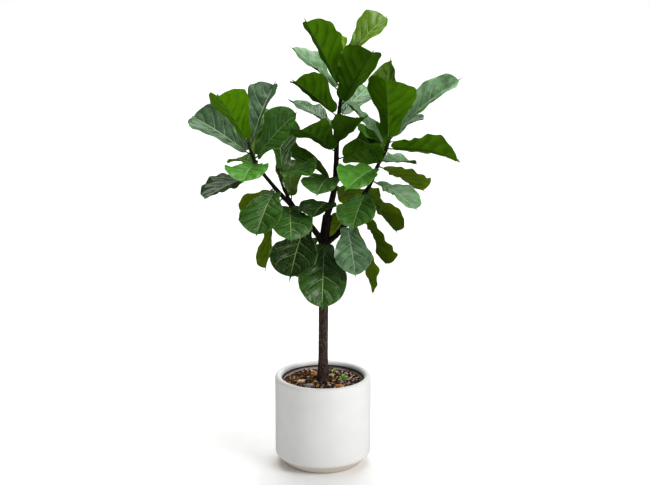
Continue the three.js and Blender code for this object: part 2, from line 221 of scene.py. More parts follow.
def ring_skin(
    rings: Array,
    poles: tuple[Array, Array] | None = None,
    uv: Array | None = None,
    finish: Array | int = 0,
    tint: Array | float = 0.0,
) -> Skin:
    """Closed surface over rows of rings: faces join each ring to the next one.

    Args:
        rings: Points of each ring, in rows of equal length.
        poles: Points that close the first and the last ring. Without them the last ring joins
            the first one.
        uv: Place of each ring point on the map. Without it, rows run along U and columns along V.
        finish: Material number, one for all or one for each column.
        tint: Tint, one for all or one for each ring point.

    Returns:
        The surface, its faces outward.
    """
    rows, columns = rings.shape[:2]
    strips = rows - 1 if poles else rows
    row, column = np.meshgrid(np.arange(strips), np.arange(columns), indexing="ij")
    after_row, after_column = (row + 1) % rows, (column + 1) % columns
    quads = np.stack(
        [
            row * columns + column,
            row * columns + after_column,
            after_row * columns + after_column,
            after_row * columns + column,
        ],
        axis=-1,
    ).reshape(-1, 4)
    if uv is None:
        spread = np.meshgrid(np.linspace(0, 1, rows), np.linspace(0, 1, columns), indexing="ij")
        uv = np.stack(spread, axis=-1)
    points = rings.reshape(-1, 3)
    places = uv.reshape(-1, 2)
    tints = np.broadcast_to(np.asarray(tint, float), rings.shape[:2]).reshape(-1)
    per_column = np.broadcast_to(np.asarray(finish, int), (columns,))
    finishes = np.tile(per_column, strips)
    if poles:
        start, end = rows * columns, rows * columns + 1
        first = np.arange(columns)
        after = (first + 1) % columns
        last = (rows - 1) * columns
        none = np.full(columns, -1)
        fan = np.stack([after, first, np.full(columns, start), none], axis=-1)
        end_fan = np.stack([last + first, last + after, np.full(columns, end), none], axis=-1)
        quads = np.concatenate([quads, fan, end_fan])
        finishes = np.concatenate([finishes, per_column, per_column])
        points = np.concatenate([points, np.asarray(poles, float)])
        places = np.concatenate([places, [uv[0].mean(0), uv[-1].mean(0)]])
        tints = np.concatenate([tints, [tints[:columns].mean(), tints[-columns:].mean()]])
    return Skin(points, quads, places, finishes, tints).outward()


def tube_skin(path: Array, radii: Array, sides: int, reference: Array, finish: int = 0) -> Skin:
    """Round tube: a circle of each radius, square to the path.

    Args:
        path: Points of the centre line.
        radii: Radius at each point.
        sides: Corners of the circle.
        reference: A direction that the path never runs along, one or one for each point.
        finish: Material number.

    Returns:
        The closed tube.
    """
    tangent = unit(np.gradient(path, axis=0))
    side = unit(np.cross(tangent, reference))
    up = np.cross(side, tangent)
    angle = circle(sides)[None, :, None]
    reach = np.asarray(radii, float)[:, None, None]
    rings = path[:, None] + reach * (side[:, None] * np.cos(angle) + up[:, None] * np.sin(angle))
    return ring_skin(rings, (path[0], path[-1]), finish=finish)


def turned_skin(profile: Array, sides: int, tint: Array | float = 0.0) -> Skin:
    """Body of revolution about Z.

    Args:
        profile: Rows of radius and level, which start and end on the axis.
        sides: Steps around the axis.
        tint: Tint, one for all or one for each row of the profile.

    Returns:
        The closed surface.
    """
    body = profile[1:-1]
    angle = circle(sides)
    around = np.stack([np.cos(angle), np.sin(angle), np.zeros(sides)], axis=-1)
    rings = body[:, None, :1] * around[None]
    rings[..., 2] += body[:, None, 1]
    ends = tuple(np.array([0.0, 0.0, level]) for level in profile[[0, -1], 1])
    tints = np.broadcast_to(np.asarray(tint, float), (len(profile),))[1:-1, None]
    return ring_skin(rings, ends, tint=tints)


def arc(centre: tuple[float, float], radius: float, start: float, end: float, steps: int) -> Array:
    """Points of a circular arc in a profile.

    Args:
        centre: Radius and level of the arc's centre.
        radius: Radius of the arc.
        start: First angle in degrees.
        end: Last angle in degrees.
        steps: Number of steps.

    Returns:
        Rows of radius and level.
    """
    angle = np.radians(np.linspace(start, end, steps + 1))
    return np.asarray(centre) + radius * np.stack([np.cos(angle), np.sin(angle)], axis=-1)


def dense(profile: Array, step: float) -> Array:
    """Profile with extra points, so that none of its straight stretches is longer than a step.

    Args:
        profile: Rows of radius and level.
        step: Longest stretch.

    Returns:
        The same outline with more points.
    """
    rows = []
    for low, high in zip(profile[:-1], profile[1:]):
        count = max(1, math.ceil(np.linalg.norm(high - low) / step))
        rows.append(low + (high - low) * np.linspace(0, 1, count, endpoint=False)[:, None])
    return np.concatenate([*rows, profile[-1:]])


def placed(name: str, data: bpy.types.ID) -> bpy.types.Object:
    """Puts a new object in the scene, at the origin.

    Args:
        name: Name of the object.
        data: Its mesh, light or camera.

    Returns:
        The object.
    """
    made = bpy.data.objects.new(name, data)
    bpy.context.scene.collection.objects.link(made)
    return made


def make_piece(
    name: str,
    skins: list[Skin],
    materials: list[bpy.types.Material],
    stands_for: list[str],
    sharp: float = 50.0,
) -> bpy.types.Object:
    """Joins closed surfaces in one mesh object that rides on the frame.

    Args:
        name: Name of the piece.
        skins: Its surfaces.
        materials: Its materials, in the order that the skins number them.
        stands_for: CAD nodes that the piece replaces.
        sharp: Angle between faces, in degrees, past which an edge is shaded sharp.

    Returns:
        The object.
    """
    offsets = np.cumsum([0] + [len(skin.points) for skin in skins[:-1]])
    shifted = [np.where(s.faces < 0, -1, s.faces + at) for s, at in zip(skins, offsets)]
    faces = np.concatenate(shifted)
    is_corner = faces >= 0
    corners = faces[is_corner]
    totals = is_corner.sum(axis=1)
    points = np.concatenate([skin.points for skin in skins])

    mesh = bpy.data.meshes.new(name)
    mesh.vertices.add(len(points))
    mesh.vertices.foreach_set("co", points.astype(np.float32).ravel())
    mesh.loops.add(len(corners))
    mesh.loops.foreach_set("vertex_index", corners.astype(np.int32))
    mesh.polygons.add(len(faces))
    mesh.polygons.foreach_set("loop_start", np.concatenate([[0], np.cumsum(totals)[:-1]]).astype(np.int32))
    finishes = np.concatenate([skin.finish for skin in skins])
    mesh.polygons.foreach_set("material_index", finishes.astype(np.int32))
    for material in materials:
        mesh.materials.append(material)
    mesh.update(calc_edges=True)
    uv = np.concatenate([skin.uv for skin in skins])[corners]
    mesh.uv_layers.new(name=BLADE_MAP).data.foreach_set("uv", uv.astype(np.float32).ravel())
    tint = np.concatenate([skin.tint for skin in skins])
    mesh.attributes.new(TINT, "FLOAT", "POINT").data.foreach_set("value", tint.astype(np.float32))
    mesh.shade_smooth()
    mesh.set_sharp_from_angle(angle=math.radians(sharp))
    mesh.validate()

    piece = placed(name, mesh)
    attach(piece, BODY)
    if stands_for:
        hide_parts(*stands_for)
    return piece


def read_mesh(mesh: bpy.types.Mesh) -> tuple[Array, Array]:
    """Reads a mesh.

    Args:
        mesh: The mesh.

    Returns:
        Its points, and the point number of each face's corners, one after the other.
    """
    points = np.empty(len(mesh.vertices) * 3)
    mesh.vertices.foreach_get("co", points)
    corners = np.empty(len(mesh.loops), dtype=np.int32)
    mesh.loops.foreach_get("vertex_index", corners)
    return points.reshape(-1, 3), corners


def merged_node(name: str) -> tuple[Array, Array]:
    """Reads a CAD node with its loose triangles joined where they meet.

    Args:
        name: Name of the node.

    Returns:
        Its corner points, and three corner numbers for each triangle.
    """
    loose, corners = read_mesh(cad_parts[name].data)
    grid = np.round(loose / MERGE_STEP).astype(np.int64)
    _, first, where = np.unique(grid, axis=0, return_index=True, return_inverse=True)
    return loose[first], where.reshape(-1)[corners].reshape(-1, 3)


# ---------------------------------------------------------------- finishes


def linear(colour: str) -> tuple[float, float, float, float]:
    """Turns an sRGB colour, written as six hex digits, to linear light.

    Args:
        colour: The colour, such as "3d2b20".

    Returns:
        Red, green, blue and alpha.
    """
    parts = [int(colour[k : k + 2], 16) / 255 for k in (0, 2, 4)]
    return (*[c / 12.92 if c <= 0.04045 else ((c + 0.055) / 1.055) ** 2.4 for c in parts], 1.0)


class NodeBoard:
    """Nodes of one new material. Every method but `add` and `shade` returns an output socket."""

    def __init__(self, name: str) -> None:
        """Makes the empty material.

        Args:
            name: Name of the material.
        """
        self.material = bpy.data.materials.new(name)
        self.material.use_nodes = True
        self.tree = self.material.node_tree
        self.tree.nodes.clear()

    def add(self, kind: str, inputs: dict | None = None, **settings: object) -> bpy.types.Node:
        """Adds a node with its settings, its fixed values and its links.

        Args:
            kind: Type of the node, without the words that all types start with.
            inputs: For each socket, by name or number, a fixed value or the socket that feeds it.
            **settings: Properties of the node.

        Returns:
            The node.
        """
        node = self.tree.nodes.new("ShaderNode" + kind)
        for key, value in settings.items():
            setattr(node, key, value)
        for key, value in (inputs or {}).items():
            if isinstance(value, Socket):
                self.tree.links.new(value, node.inputs[key])
            else:
                node.inputs[key].default_value = value
        return node

    def place(self) -> Socket:
        """Object coordinates."""
        return self.add("TexCoord").outputs["Object"]

    def tint(self) -> Socket:
        """Tint of the surface."""
        return self.add("Attribute", attribute_name=TINT).outputs["Fac"]

    def stretched(self, place: Socket, along_z: float) -> Socket:
        """Place with its Z multiplied, so that a pattern is drawn out or pressed along Z."""
        return self.add("Mapping", {"Vector": place, "Scale": (1.0, 1.0, along_z)}).outputs[0]

    def noise(self, place: Socket, grain_mm: float, detail: float = 2.0, roughness: float = 0.5) -> Socket:
        """Cloudy field.

        Args:
            place: Where to read it.
            grain_mm: Size of its largest clouds.
            detail: Number of finer layers.
            roughness: Strength of each layer beside the one before.

        Returns:
            Its value, about 0.5.
        """
        inputs = {"Vector": place, "Scale": 1 / (grain_mm * MM), "Detail": detail, "Roughness": roughness}
        return self.add("TexNoise", inputs).outputs[0]

    def cells(self, place: Socket, cell_mm: float, **settings: object) -> Socket:
        """Distance in a field of cells.

        Args:
            place: Where to read it.
            cell_mm: Size of a cell.
            **settings: Properties of the node.

        Returns:
            The distance to the nearest cell's centre, unless the settings say otherwise.
        """
        inputs = {"Vector": place, "Scale": 1 / (cell_mm * MM)}
        return self.add("TexVoronoi", inputs, **settings).outputs["Distance"]

    def spread(
        self,
        value: Socket,
        start: tuple[float | Socket, float | Socket] = (0.0, 1.0),
        end: tuple[float | Socket, float | Socket] = (0.0, 1.0),
        **settings: object,
    ) -> Socket:
        """Moves a value from one range to another, and holds it there.

        Args:
            value: The value.
            start: The range that it comes from.
            end: The range that it goes to.
            **settings: Properties of the node.

        Returns:
            The moved value.
        """
        sockets = ("Value", "From Min", "From Max", "To Min", "To Max")
        return self.add("MapRange", dict(zip(sockets, (value, *start, *end))), **settings).outputs[0]

    def math(self, operation: str, *values: float | Socket, **settings: object) -> Socket:
        """Result of one operation on up to three values."""
        return self.add("Math", dict(enumerate(values)), operation=operation, **settings).outputs[0]

    def mix(self, share: Socket | float, low: Socket, high: Socket) -> Socket:
        """Number between two numbers, by a share from 0 to 1."""
        return self.add("Mix", {0: share, 2: low, 3: high}, data_type="FLOAT").outputs[0]

    def blend(self, share: Socket, low: str | Socket, high: str | Socket) -> Socket:
        """Colour between two colours.

        Args:
            share: How much of the second, from 0 to 1.
            low: The first, as sRGB hex or as a socket.
            high: The second.

        Returns:
            The colour.
        """
        low, high = (linear(tone) if isinstance(tone, str) else tone for tone in (low, high))
        inputs = {MIX_FACTOR: share, MIX_FROM: low, MIX_TO: high}
        return self.add("Mix", inputs, data_type="RGBA").outputs[MIX_OUT]

    def bump(self, height: Socket, strength: float, depth_mm: float) -> Socket:
        """Shading direction of a relief of that depth."""
        inputs = {"Height": height, "Strength": strength, "Distance": depth_mm * MM}
        return self.add("Bump", inputs).outputs[0]

    def shade(
        self,
        colour: Socket,
        roughness: float | Socket,
        ior: float,
        relief: Socket | None = None,
        specular: float = 0.5,
    ) -> bpy.types.Material:
        """Ends the board with its shader.

        Args:
            colour: Base colour.
            roughness: Roughness of the gloss.
            ior: Refractive index.
            relief: Shading direction, if it isn't plain.
            specular: Strength of the reflection, 0.5 being a bare dielectric.

        Returns:
            The material.
        """
        inputs = {"Base Color": colour, "Roughness": roughness, "IOR": ior, "Specular IOR Level": specular}
        if relief is not None:
            inputs["Normal"] = relief
        shader = self.add("BsdfPrincipled", inputs)
        self.add("OutputMaterial", {"Surface": shader.outputs[0]})
        return self.material


@dataclass(frozen=True)
class GlazedStoneware:
    """White matt-glazed stoneware: cast, dipped and fired, with a rough foot in painted shade.

    Gives a soft broad gloss with a faint unevenness of the glaze, and on the foot, where the tint
    is 1, a rough, gritty, darker beige: painted shade of the down-turned chamfer.
    """

    body: str = "eaeae9"
    shade: str = "dfdfdd"
    # foot band colours: a warm, darker beige, painted shade of the down-turned chamfer
    clay: str = "e6dacd"
    grit: str = "d2c5b8"
    ior: float = 1.5
    gloss: tuple[float, float] = (0.41, 0.54)
    clay_roughness: float = 0.85
    cloud_mm: float = 70.0
    ripple_mm: float = 16.0
    grit_mm: float = 2.4
    relief: float = 0.25
    depth_mm: float = 0.5

    def build(self) -> bpy.types.Material:
        """Makes the material: clouded white with a rippled gloss, over a gritty foot in painted shade.

        Returns:
            The material.
        """
        board = NodeBoard("white_matt_glazed_stoneware")
        place, bare = board.place(), board.tint()
        ripple = board.noise(place, self.ripple_mm)
        sand = board.noise(place, self.grit_mm, 3.0)
        glaze = board.blend(board.noise(place, self.cloud_mm, 3.0), self.body, self.shade)
        # the foot band's gritty beige is painted shade of the chamfer
        foot = board.blend(sand, self.clay, self.grit)
        dull = board.spread(bare, end=(board.spread(ripple, end=self.gloss), self.clay_roughness))
        bump = board.bump(board.mix(bare, ripple, sand), self.relief, self.depth_mm)
        return board.shade(board.blend(bare, glaze, foot), dull, self.ior, bump)


@dataclass(frozen=True)
class MouldedPolypropylene:
    """Recycled dark polypropylene of a nursery pot: injection moulded.

    Gives a dull satin with a dusty bloom of dried soil and hard water over the dark plastic. The
    rim, where the tint is 1, is near-black: the bare dark plastic, deepened as painted shade of the
    gap between it and the planter's wall.
    """

    plastic: str = "3a3735"
    dust: str = "cfc2ba"
    # near-black rim: the bare plastic, deepened as painted shade of the gap at the planter's wall
    rim: str = "191817"
    ior: float = 1.49
    gloss: tuple[float, float] = (0.45, 0.85)
    dust_mm: float = 16.0
    dust_edge: tuple[float, float] = (0.3, 0.55)
    dust_share: tuple[float, float] = (0.5, 1.0)
    grain_mm: float = 1.4
    relief: float = 0.3
    depth_mm: float = 0.3

    def build(self) -> bpy.types.Material:
        """Makes the material: dark plastic under patchy dust.

        Returns:
            The material.
        """
        board = NodeBoard("dusty_moulded_polypropylene")
        place = board.place()
        patch = board.noise(place, self.dust_mm, 6.0, 0.7)
        share = board.spread(patch, self.dust_edge, self.dust_share)
        dusty = board.blend(share, self.plastic, self.dust)
        # painted shade: the rim turns near-black
        colour = board.blend(board.tint(), dusty, self.rim)
        bump = board.bump(board.noise(place, self.grain_mm), self.relief, self.depth_mm)
        return board.shade(colour, board.spread(share, end=self.gloss), self.ior, bump)


@dataclass(frozen=True)
class GrainyFinish:
    """Dull mineral or vegetable matter: its pieces differ in tone, and its face is grainy.

    Gives crumbs, chips and stones their scatter of colours through the tint of each piece.

    Attributes:
        name: What the matter is.
        dark: Colour of the darkest pieces.
        middle: Colour of the middling ones.
        light: Colour of the lightest ones.
        grain_mm: Size of the grain on their faces.
        depth_mm: Depth of that grain.
        roughness: Mean roughness.
        ior: Refractive index.
        specular: Strength of its reflection, 0.5 being a bare dielectric.
        grain_share: How far the grain moves the tone.
        gloss_play: How far the roughness wanders.
        relief: Strength of the grain's bump.
    """

    name: str
    dark: str
    middle: str
    light: str
    grain_mm: float
    depth_mm: float
    roughness: float
    ior: float = 1.5
    specular: float = 0.4
    grain_share: float = 1.1
    gloss_play: float = 0.08
    relief: float = 0.7

    def build(self) -> bpy.types.Material:
        """Makes the material: three tones spread by tint and grain.

        Returns:
            The material.
        """
        board = NodeBoard(self.name)
        grain = board.noise(board.place(), self.grain_mm, 5.0, 0.65)
        around = board.math("SUBTRACT", grain, 0.5)
        mixed = board.math("MULTIPLY_ADD", around, self.grain_share, board.tint())
        darker = board.blend(board.spread(mixed, (0.0, 0.5)), self.dark, self.middle)
        colour = board.blend(board.spread(mixed, (0.5, 1.0)), darker, self.light)
        gloss = board.spread(grain, end=(self.roughness - self.gloss_play, self.roughness + self.gloss_play))
        bump = board.bump(grain, self.relief, self.depth_mm)
        return board.shade(colour, gloss, self.ior, bump, self.specular)


@dataclass(frozen=True)
class FigBark:
    """Bark of a young fig: thin, cracked lengthwise, and dotted with corky pores.

    Gives a dark dry brown with pale dots and short light cracks, painted near-black higher up the
    wood as the shade of the crown, and a greener skin on young twigs.
    """

    deep: str = "150f0c"
    brown: str = "4f3d36"
    pore: str = "a08a7e"
    young: str = "34381c"
    # painted shade of the crown: over the shaded levels the wood turns to this near-black
    shaded: str = "0b0806"
    shaded_share: float = 0.84
    shaded_levels: tuple[float, float] = (0.68, 0.84)
    ior: float = 1.48
    specular: float = 0.2
    gloss: tuple[float, float] = (0.95, 0.62)
    crack_mm: float = 4.2
    crack_stretch: float = 0.24
    crack_edge: tuple[float, float] = (0.35, 0.68)
    pore_mm: float = 6.5
    pore_press: float = 1.8
    pore_edge: tuple[float, float] = (0.12, 0.3)
    pore_height: float = 0.5
    cloud_mm: float = 26.0
    cloud_edge: tuple[float, float] = (0.4, 0.58)
    cloud_share: tuple[float, float] = (0.15, 0.85)
    relief: float = 0.9
    depth_mm: float = 1.2

    def build(self) -> bpy.types.Material:
        """Makes the material: cracks stretched along the stem, pores, painted shade upwards, and a green
        young skin.

        Returns:
            The material.
        """
        board = NodeBoard("cracked_fig_bark")
        place = board.place()
        cracks = board.noise(board.stretched(place, self.crack_stretch), self.crack_mm, 5.0, 0.6)
        skin = board.blend(board.spread(cracks, self.crack_edge), self.deep, self.brown)
        pores = board.cells(board.stretched(place, self.pore_press), self.pore_mm)
        dot = board.spread(pores, self.pore_edge, (1.0, 0.0))
        cloud = board.noise(place, self.cloud_mm)
        dots = board.math("MULTIPLY", dot, board.spread(cloud, self.cloud_edge, self.cloud_share))
        # painted shade: from the lower shaded level up, the wood darkens to near-black as under the crown
        level = board.add("SeparateXYZ", {0: place}).outputs[2]
        shade = board.spread(level, self.shaded_levels, (0.0, self.shaded_share))
        bark_in_painted_shade = board.blend(shade, board.blend(dots, skin, self.pore), self.shaded)
        colour = board.blend(board.tint(), bark_in_painted_shade, self.young)
        height = board.math("MULTIPLY_ADD", dots, self.pore_height, cracks)
        bump = board.bump(height, self.relief, self.depth_mm)
        return board.shade(colour, board.spread(cracks, end=self.gloss), self.ior, bump, self.specular)


@dataclass(frozen=True)
class VeinPlan:
    """Where the side veins of a blade run.

    A vein is where `number(u, v)` is whole: it leaves the midrib and sweeps forward on its way
    to the margin. U runs from base to tip and V from -1 at the right margin to 1 at the left.

    Attributes:
        count: Side veins over the whole length, if they went on to both ends.
        first: Place on the midrib of the vein numbered 1.
        slant: How far forward a vein runs on its way out.
        sweep: How far it bends forward besides.
        stagger: How far the left side's veins are moved, in vein spacings.
    """

    count: float = 4.9
    first: float = 0.17
    slant: float = 0.19
    sweep: float = 0.16
    stagger: float = 0.2

    @property
    def phase(self) -> float:
        """Number added so that vein 1 leaves the midrib at `first`."""
        return 1.0 - self.count * self.first

    def forward(self, out: Array) -> Array:
        """How far forward of its start a vein is, at a distance out from the midrib."""
        return out * (self.slant + self.sweep * out)

    def number(self, u: Array, v: Array) -> Array:
        """Vein number at a place: count times the place where its vein left the midrib.

        Args:
            u: Place along the blade.
            v: Place across the blade.

        Returns:
            The number, whole on a vein.
        """
        left_midrib_at = u - self.forward(np.abs(v))
        return self.count * left_midrib_at + self.phase + self.stagger * (v > 0)

    def leaves_at(self, number: int, is_left: bool) -> float:
        """Place on the midrib where a vein starts."""
        return (number - self.phase - self.stagger * is_left) / self.count


class Face(Enum):
    """Which face of a leaf blade."""

    UPPER = "upper"
    UNDER = "under"


@dataclass(frozen=True)
class LeafFinish:
    """Leathery fig leaf: a waxy cuticle above, a duller skin with standing veins below.

    Gives the deep green with pale veins and broken white gloss of the upper face, and the flat,
    strong green of the under face, on which the veins are painted darker than the blade as the
    shade beside them. On both faces the blade is painted darker beside each side vein and lighter
    halfway to the next, as the shade and highlight of its quilted relief. The tint of a leaf says
    how light it is between the two colours.

    Attributes:
        name: Name of the material.
        face: Which face it is for.
        deep: Colour of the darkest leaf.
        light: Colour of the lightest leaf.
        vein: Colour of the veins.
        roughness: Mean roughness.
        specular: Strength of the skin's own reflection, 0.5 being a bare dielectric.
        mottle: How far the blade's lightness wanders, on a leaf of middling lightness.
        vein_shade: Share of the wandering that follows the veins: painted shade beside, painted highlight
            between.
        veins: Where the side veins run.
        ior: Refractive index.
        mottle_edge: Range of the clouds that the wandering uses.
        mottle_growth: How much more a light leaf wanders, and how much the darkest one does.
        gloss_play: How far the roughness wanders, down and up.
        vein_width: Width of a side vein at the midrib and at the margin, in vein spacings.
        vein_fade: Where, on its way out, a side vein starts to fade and where it ends.
        vein_show: How much it shows there.
        late_fade: Where, along the blade, the side veins start to fade and where they end.
        late_show: How much they show there.
        rib_width: Width of the midrib at the base and at the tip.
        rib_core: Width over which it is at full strength.
        margin_edge: Where, on the way out, the pale margin starts and where it is full.
        margin_show: How much the margin shows on the upper face.
        hollow: Where painted shade by a side vein is darkest and painted highlight lightest, in vein
            spacings.
        net_width: Width of a line of the fine net of veins, as a share of its cell.
        net_show: How much the net shows.
        line_show: How much all veins show.
        relief: Strength of the bump of veins and pores.
        depth_mm: Depth of that bump.
        vein_rise: How far veins stand up on the upper face and on the under face.
    """

    name: str
    face: Face
    deep: str
    light: str
    vein: str
    roughness: float
    specular: float
    mottle: float
    vein_shade: float
    veins: VeinPlan = VeinPlan()
    ior: float = 1.45
    mottle_mm: float = 38.0
    mottle_edge: tuple[float, float] = (0.32, 0.68)
    mottle_growth: tuple[float, float] = (1.7, 0.4)
    gloss_play: tuple[float, float] = (-0.05, 0.07)
    vein_width: tuple[float, float] = (0.05, 0.03)
    vein_fade: tuple[float, float] = (0.35, 0.95)
    vein_show: tuple[float, float] = (0.95, 0.15)
    late_fade: tuple[float, float] = (0.62, 0.84)
    late_show: tuple[float, float] = (1.0, 0.25)
    rib_width: tuple[float, float] = (0.052, 0.012)
    rib_core: float = 0.004
    margin_edge: tuple[float, float] = (0.96, 0.99)
    margin_show: float = 0.5
    hollow: tuple[float, float] = (0.03, 0.4)
    net_mm: float = 8.0
    net_width: float = 0.08
    net_show: float = 0.22
    line_show: float = 0.75
    pore_mm: float = 1.8
    relief: float = 0.22
    depth_mm: float = 0.8
    vein_rise: tuple[float, float] = (-0.8, 1.0)

    def vein_lines(self, board: NodeBoard) -> tuple[Socket, Socket, Socket]:
        """Masks that follow the veins.

        The side veins are where the vein number is whole, which a ping-pong of it measures.

        Args:
            board: Nodes of the material.

        Returns:
            The socket that is 1 on a vein, the one that is 1 on the margin, and the one that
            rises from 0 on a side vein to 1 halfway to the next.
        """
        plan = self.veins
        u, v = board.add("SeparateXYZ", {0: board.add("UVMap", uv_map=BLADE_MAP).outputs[0]}).outputs[:2]
        across = board.math("MULTIPLY_ADD", v, 2.0, -1.0)
        out = board.math("ABSOLUTE", across)
        is_left = board.math("GREATER_THAN", across, 0.0)
        lean = board.math("MULTIPLY_ADD", out, plan.sweep, plan.slant)
        start = board.math("SUBTRACT", u, board.math("MULTIPLY", lean, out))
        right = board.math("MULTIPLY_ADD", start, plan.count, plan.phase)
        number = board.math("MULTIPLY_ADD", is_left, plan.stagger, right)
        away = board.math("PINGPONG", number, 0.5)
        width = board.spread(out, end=self.vein_width)
        line = board.spread(away, (0.0, width), (1.0, 0.0), interpolation_type="SMOOTHSTEP")
        fade = board.spread(out, self.vein_fade, self.vein_show)
        late = board.spread(start, self.late_fade, self.late_show)
        side_veins = board.math("MULTIPLY", line, board.math("MULTIPLY", fade, late))
        taper = board.spread(u, end=self.rib_width)
        midrib = board.spread(out, (self.rib_core, taper), (1.0, 0.0), interpolation_type="SMOOTHSTEP")
        veins = board.math("MAXIMUM", midrib, side_veins)
        return veins, board.spread(out, self.margin_edge), board.spread(away, self.hollow)

    def build(self) -> bpy.types.Material:
        """Makes the material: mottled blade with painted shade along the veins, a fine net and a pored skin.

        Returns:
            The material.
        """
        is_upper = self.face is Face.UPPER
        board = NodeBoard(self.name)
        place, light = board.place(), board.tint()
        veins, margin, between = self.vein_lines(board)
        clouds = board.spread(board.noise(place, self.mottle_mm, 4.0), self.mottle_edge)
        # painted shade beside the side veins and painted highlight halfway between, as of the quilted relief
        around = board.math("SUBTRACT", board.mix(self.vein_shade, clouds, between), 0.5)
        growth = [share * self.mottle for share in self.mottle_growth]
        reach = board.math("MULTIPLY_ADD", light, *growth)
        share = board.math("MULTIPLY_ADD", around, reach, light, use_clamp=True)
        blade = board.blend(share, self.deep, self.light)
        net = board.cells(place, self.net_mm, feature="DISTANCE_TO_EDGE")
        fine = board.spread(net, (0.0, self.net_width), (self.net_show, 0.0))
        lines = board.math("MAXIMUM", veins, fine)
        marked = board.math("MULTIPLY_ADD", margin, self.margin_show if is_upper else 0.0, lines)
        strength = board.math("MULTIPLY", marked, self.line_show, use_clamp=True)
        colour = board.blend(strength, blade, self.vein)
        pores = board.noise(place, self.pore_mm)
        height = board.math("MULTIPLY_ADD", lines, self.vein_rise[0 if is_upper else 1], pores)
        bump = board.bump(height, self.relief, self.depth_mm)
        gloss = board.spread(clouds, end=tuple(self.roughness + play for play in self.gloss_play))
        return board.shade(colour, gloss, self.ior, bump, self.specular)


@dataclass(frozen=True)
class StudioPaper:
    """Seamless studio paper: matt, pale and even, with a faint fibre."""

    colour: str = "f6f6f5"
    fibre: str = "f0f0ef"
    fibre_mm: float = 40.0
    roughness: float = 0.95
    ior: float = 1.4

    def build(self) -> bpy.types.Material:
        """Makes the material: two near whites clouded together.

        Returns:
            The material.
        """
        board = NodeBoard("seamless_studio_paper")
        cloud = board.noise(board.place(), self.fibre_mm)
        return board.shade(board.blend(cloud, self.colour, self.fibre), self.roughness, self.ior)


# ---------------------------------------------------------------- planter and nursery pot


@dataclass
class Planter:
    """White planter: a straight round wall, a rolled lip, and a foot cut back by a chamfer."""

    sides: int = 160
    wall: float = 24 * MM
    floor: float = 24 * MM
    foot_radius: float = 141 * MM
    chamfer_radius: float = 171 * MM
    chamfer_top: float = 31 * MM
    shoulder: float = 14 * MM
    foot_round: float = 1.5 * MM
    # where the foot band's painted shade ends, and how fast it fades
    foot_shade_from: float = 31 * MM
    foot_shade_fade: float = 2 * MM
    step: float = 9 * MM
    finish: GlazedStoneware = GlazedStoneware()

    def profile(self) -> Array:
        """Outline from the foot out, up the wall, over the lip and down the inside.

        The lip is half a circle of the wall's thickness, and the shoulder a seventh of one.

        Returns:
            Rows of radius and level.
        """
        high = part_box("pot")[1]
        lip = self.wall / 2
        body = (high.x - self.shoulder, self.chamfer_top + self.shoulder)
        outline = [
            [[0.0, 0.0], [self.foot_radius - self.foot_round, 0.0]],
            [[self.foot_radius + self.foot_round * 0.5, self.foot_round * 0.6]],
            [[self.chamfer_radius, self.chamfer_top]],
            arc(body, self.shoulder, -50, 0, 8),
            arc((high.x - lip, high.z - lip), lip, 0, 180, 20),
            [[high.x - self.wall, self.floor + self.shoulder]],
            [[high.x - self.wall - self.shoulder, self.floor], [0.0, self.floor]],
        ]
        return dense(np.concatenate(outline), self.step)

    def build(self) -> bpy.types.Object:
        """Makes the planter. Its tint is 1 on the foot, up to the top of the chamfer, where its painted
        shade ends.

        Returns:
            The planter.
        """
        profile = self.profile()
        is_foot = np.arange(len(profile)) < profile[:, 1].argmax()
        # the foot band, which the material paints in shade, ends at the top of the chamfer
        bare = is_foot * (1 - ease(profile[:, 1], self.foot_shade_from, self.foot_shade_from + self.foot_shade_fade))
        skin = turned_skin(profile, self.sides, bare)
        return make_piece("planter", [skin], [self.finish.build()], ["pot"], sharp=35)


@dataclass
class NurseryPot:
    """Dark nursery pot: a thin tapered wall with a rolled rim and two moulded steps."""

    sides: int = 144
    wall: float = 2.2 * MM
    rim: float = 2.6 * MM
    taper: float = 27 * MM
    step_depth: float = 1.0 * MM
    step_levels: tuple[float, float] = (12 * MM, 30 * MM)
    step_slope: float = 0.2 * MM
    stretch: float = 9 * MM
    finish: MouldedPolypropylene = MouldedPolypropylene()

    def profile(self) -> Array:
        """Outline up the outside, round the rim and down the stepped inside.

        Returns:
            Rows of radius and level.
        """
        low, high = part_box("grow_pot")
        base = high.x - self.taper

        def inside(level: float) -> float:
            """Inner radius at a level, in line with the taper."""
            return base + self.taper * (level - low.z) / (high.z - low.z) - self.wall

        rows = [[0.0, low.z], [base, low.z], [high.x - self.rim * 0.4, high.z - 2 * self.rim]]
        centre = (high.x - self.rim, high.z - self.rim)
        round_rim = arc(centre, self.rim, -30, 210, 12)
        inner = []
        for depth in self.step_levels:
            level = high.z - depth
            inner.append([inside(level) - self.step_slope, level])
            inner.append([inside(level) - self.step_depth, level - self.step_depth])
        inner += [[inside(low.z) - self.wall, low.z + self.wall], [0.0, low.z + self.wall]]
        return dense(np.concatenate([rows, round_rim, inner]), self.stretch)

    def build(self) -> bpy.types.Object:
        """Makes the nursery pot. Its tint is 1 on the rim, which its material paints near-black as shade.

        Returns:
            The nursery pot.
        """
        profile = self.profile()
        # the top of the rim takes the painted shade of the gap at the planter's wall
        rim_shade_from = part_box("grow_pot")[1].z - 2 * self.rim
        bare = ease(profile[:, 1], rim_shade_from, rim_shade_from + self.rim / 2)
        skin = turned_skin(profile, self.sides, bare)
        return make_piece(
            "nursery_pot", [skin], [self.finish.build()], ["grow_pot"], sharp=40
        )


# ---------------------------------------------------------------- soil and what lies in it


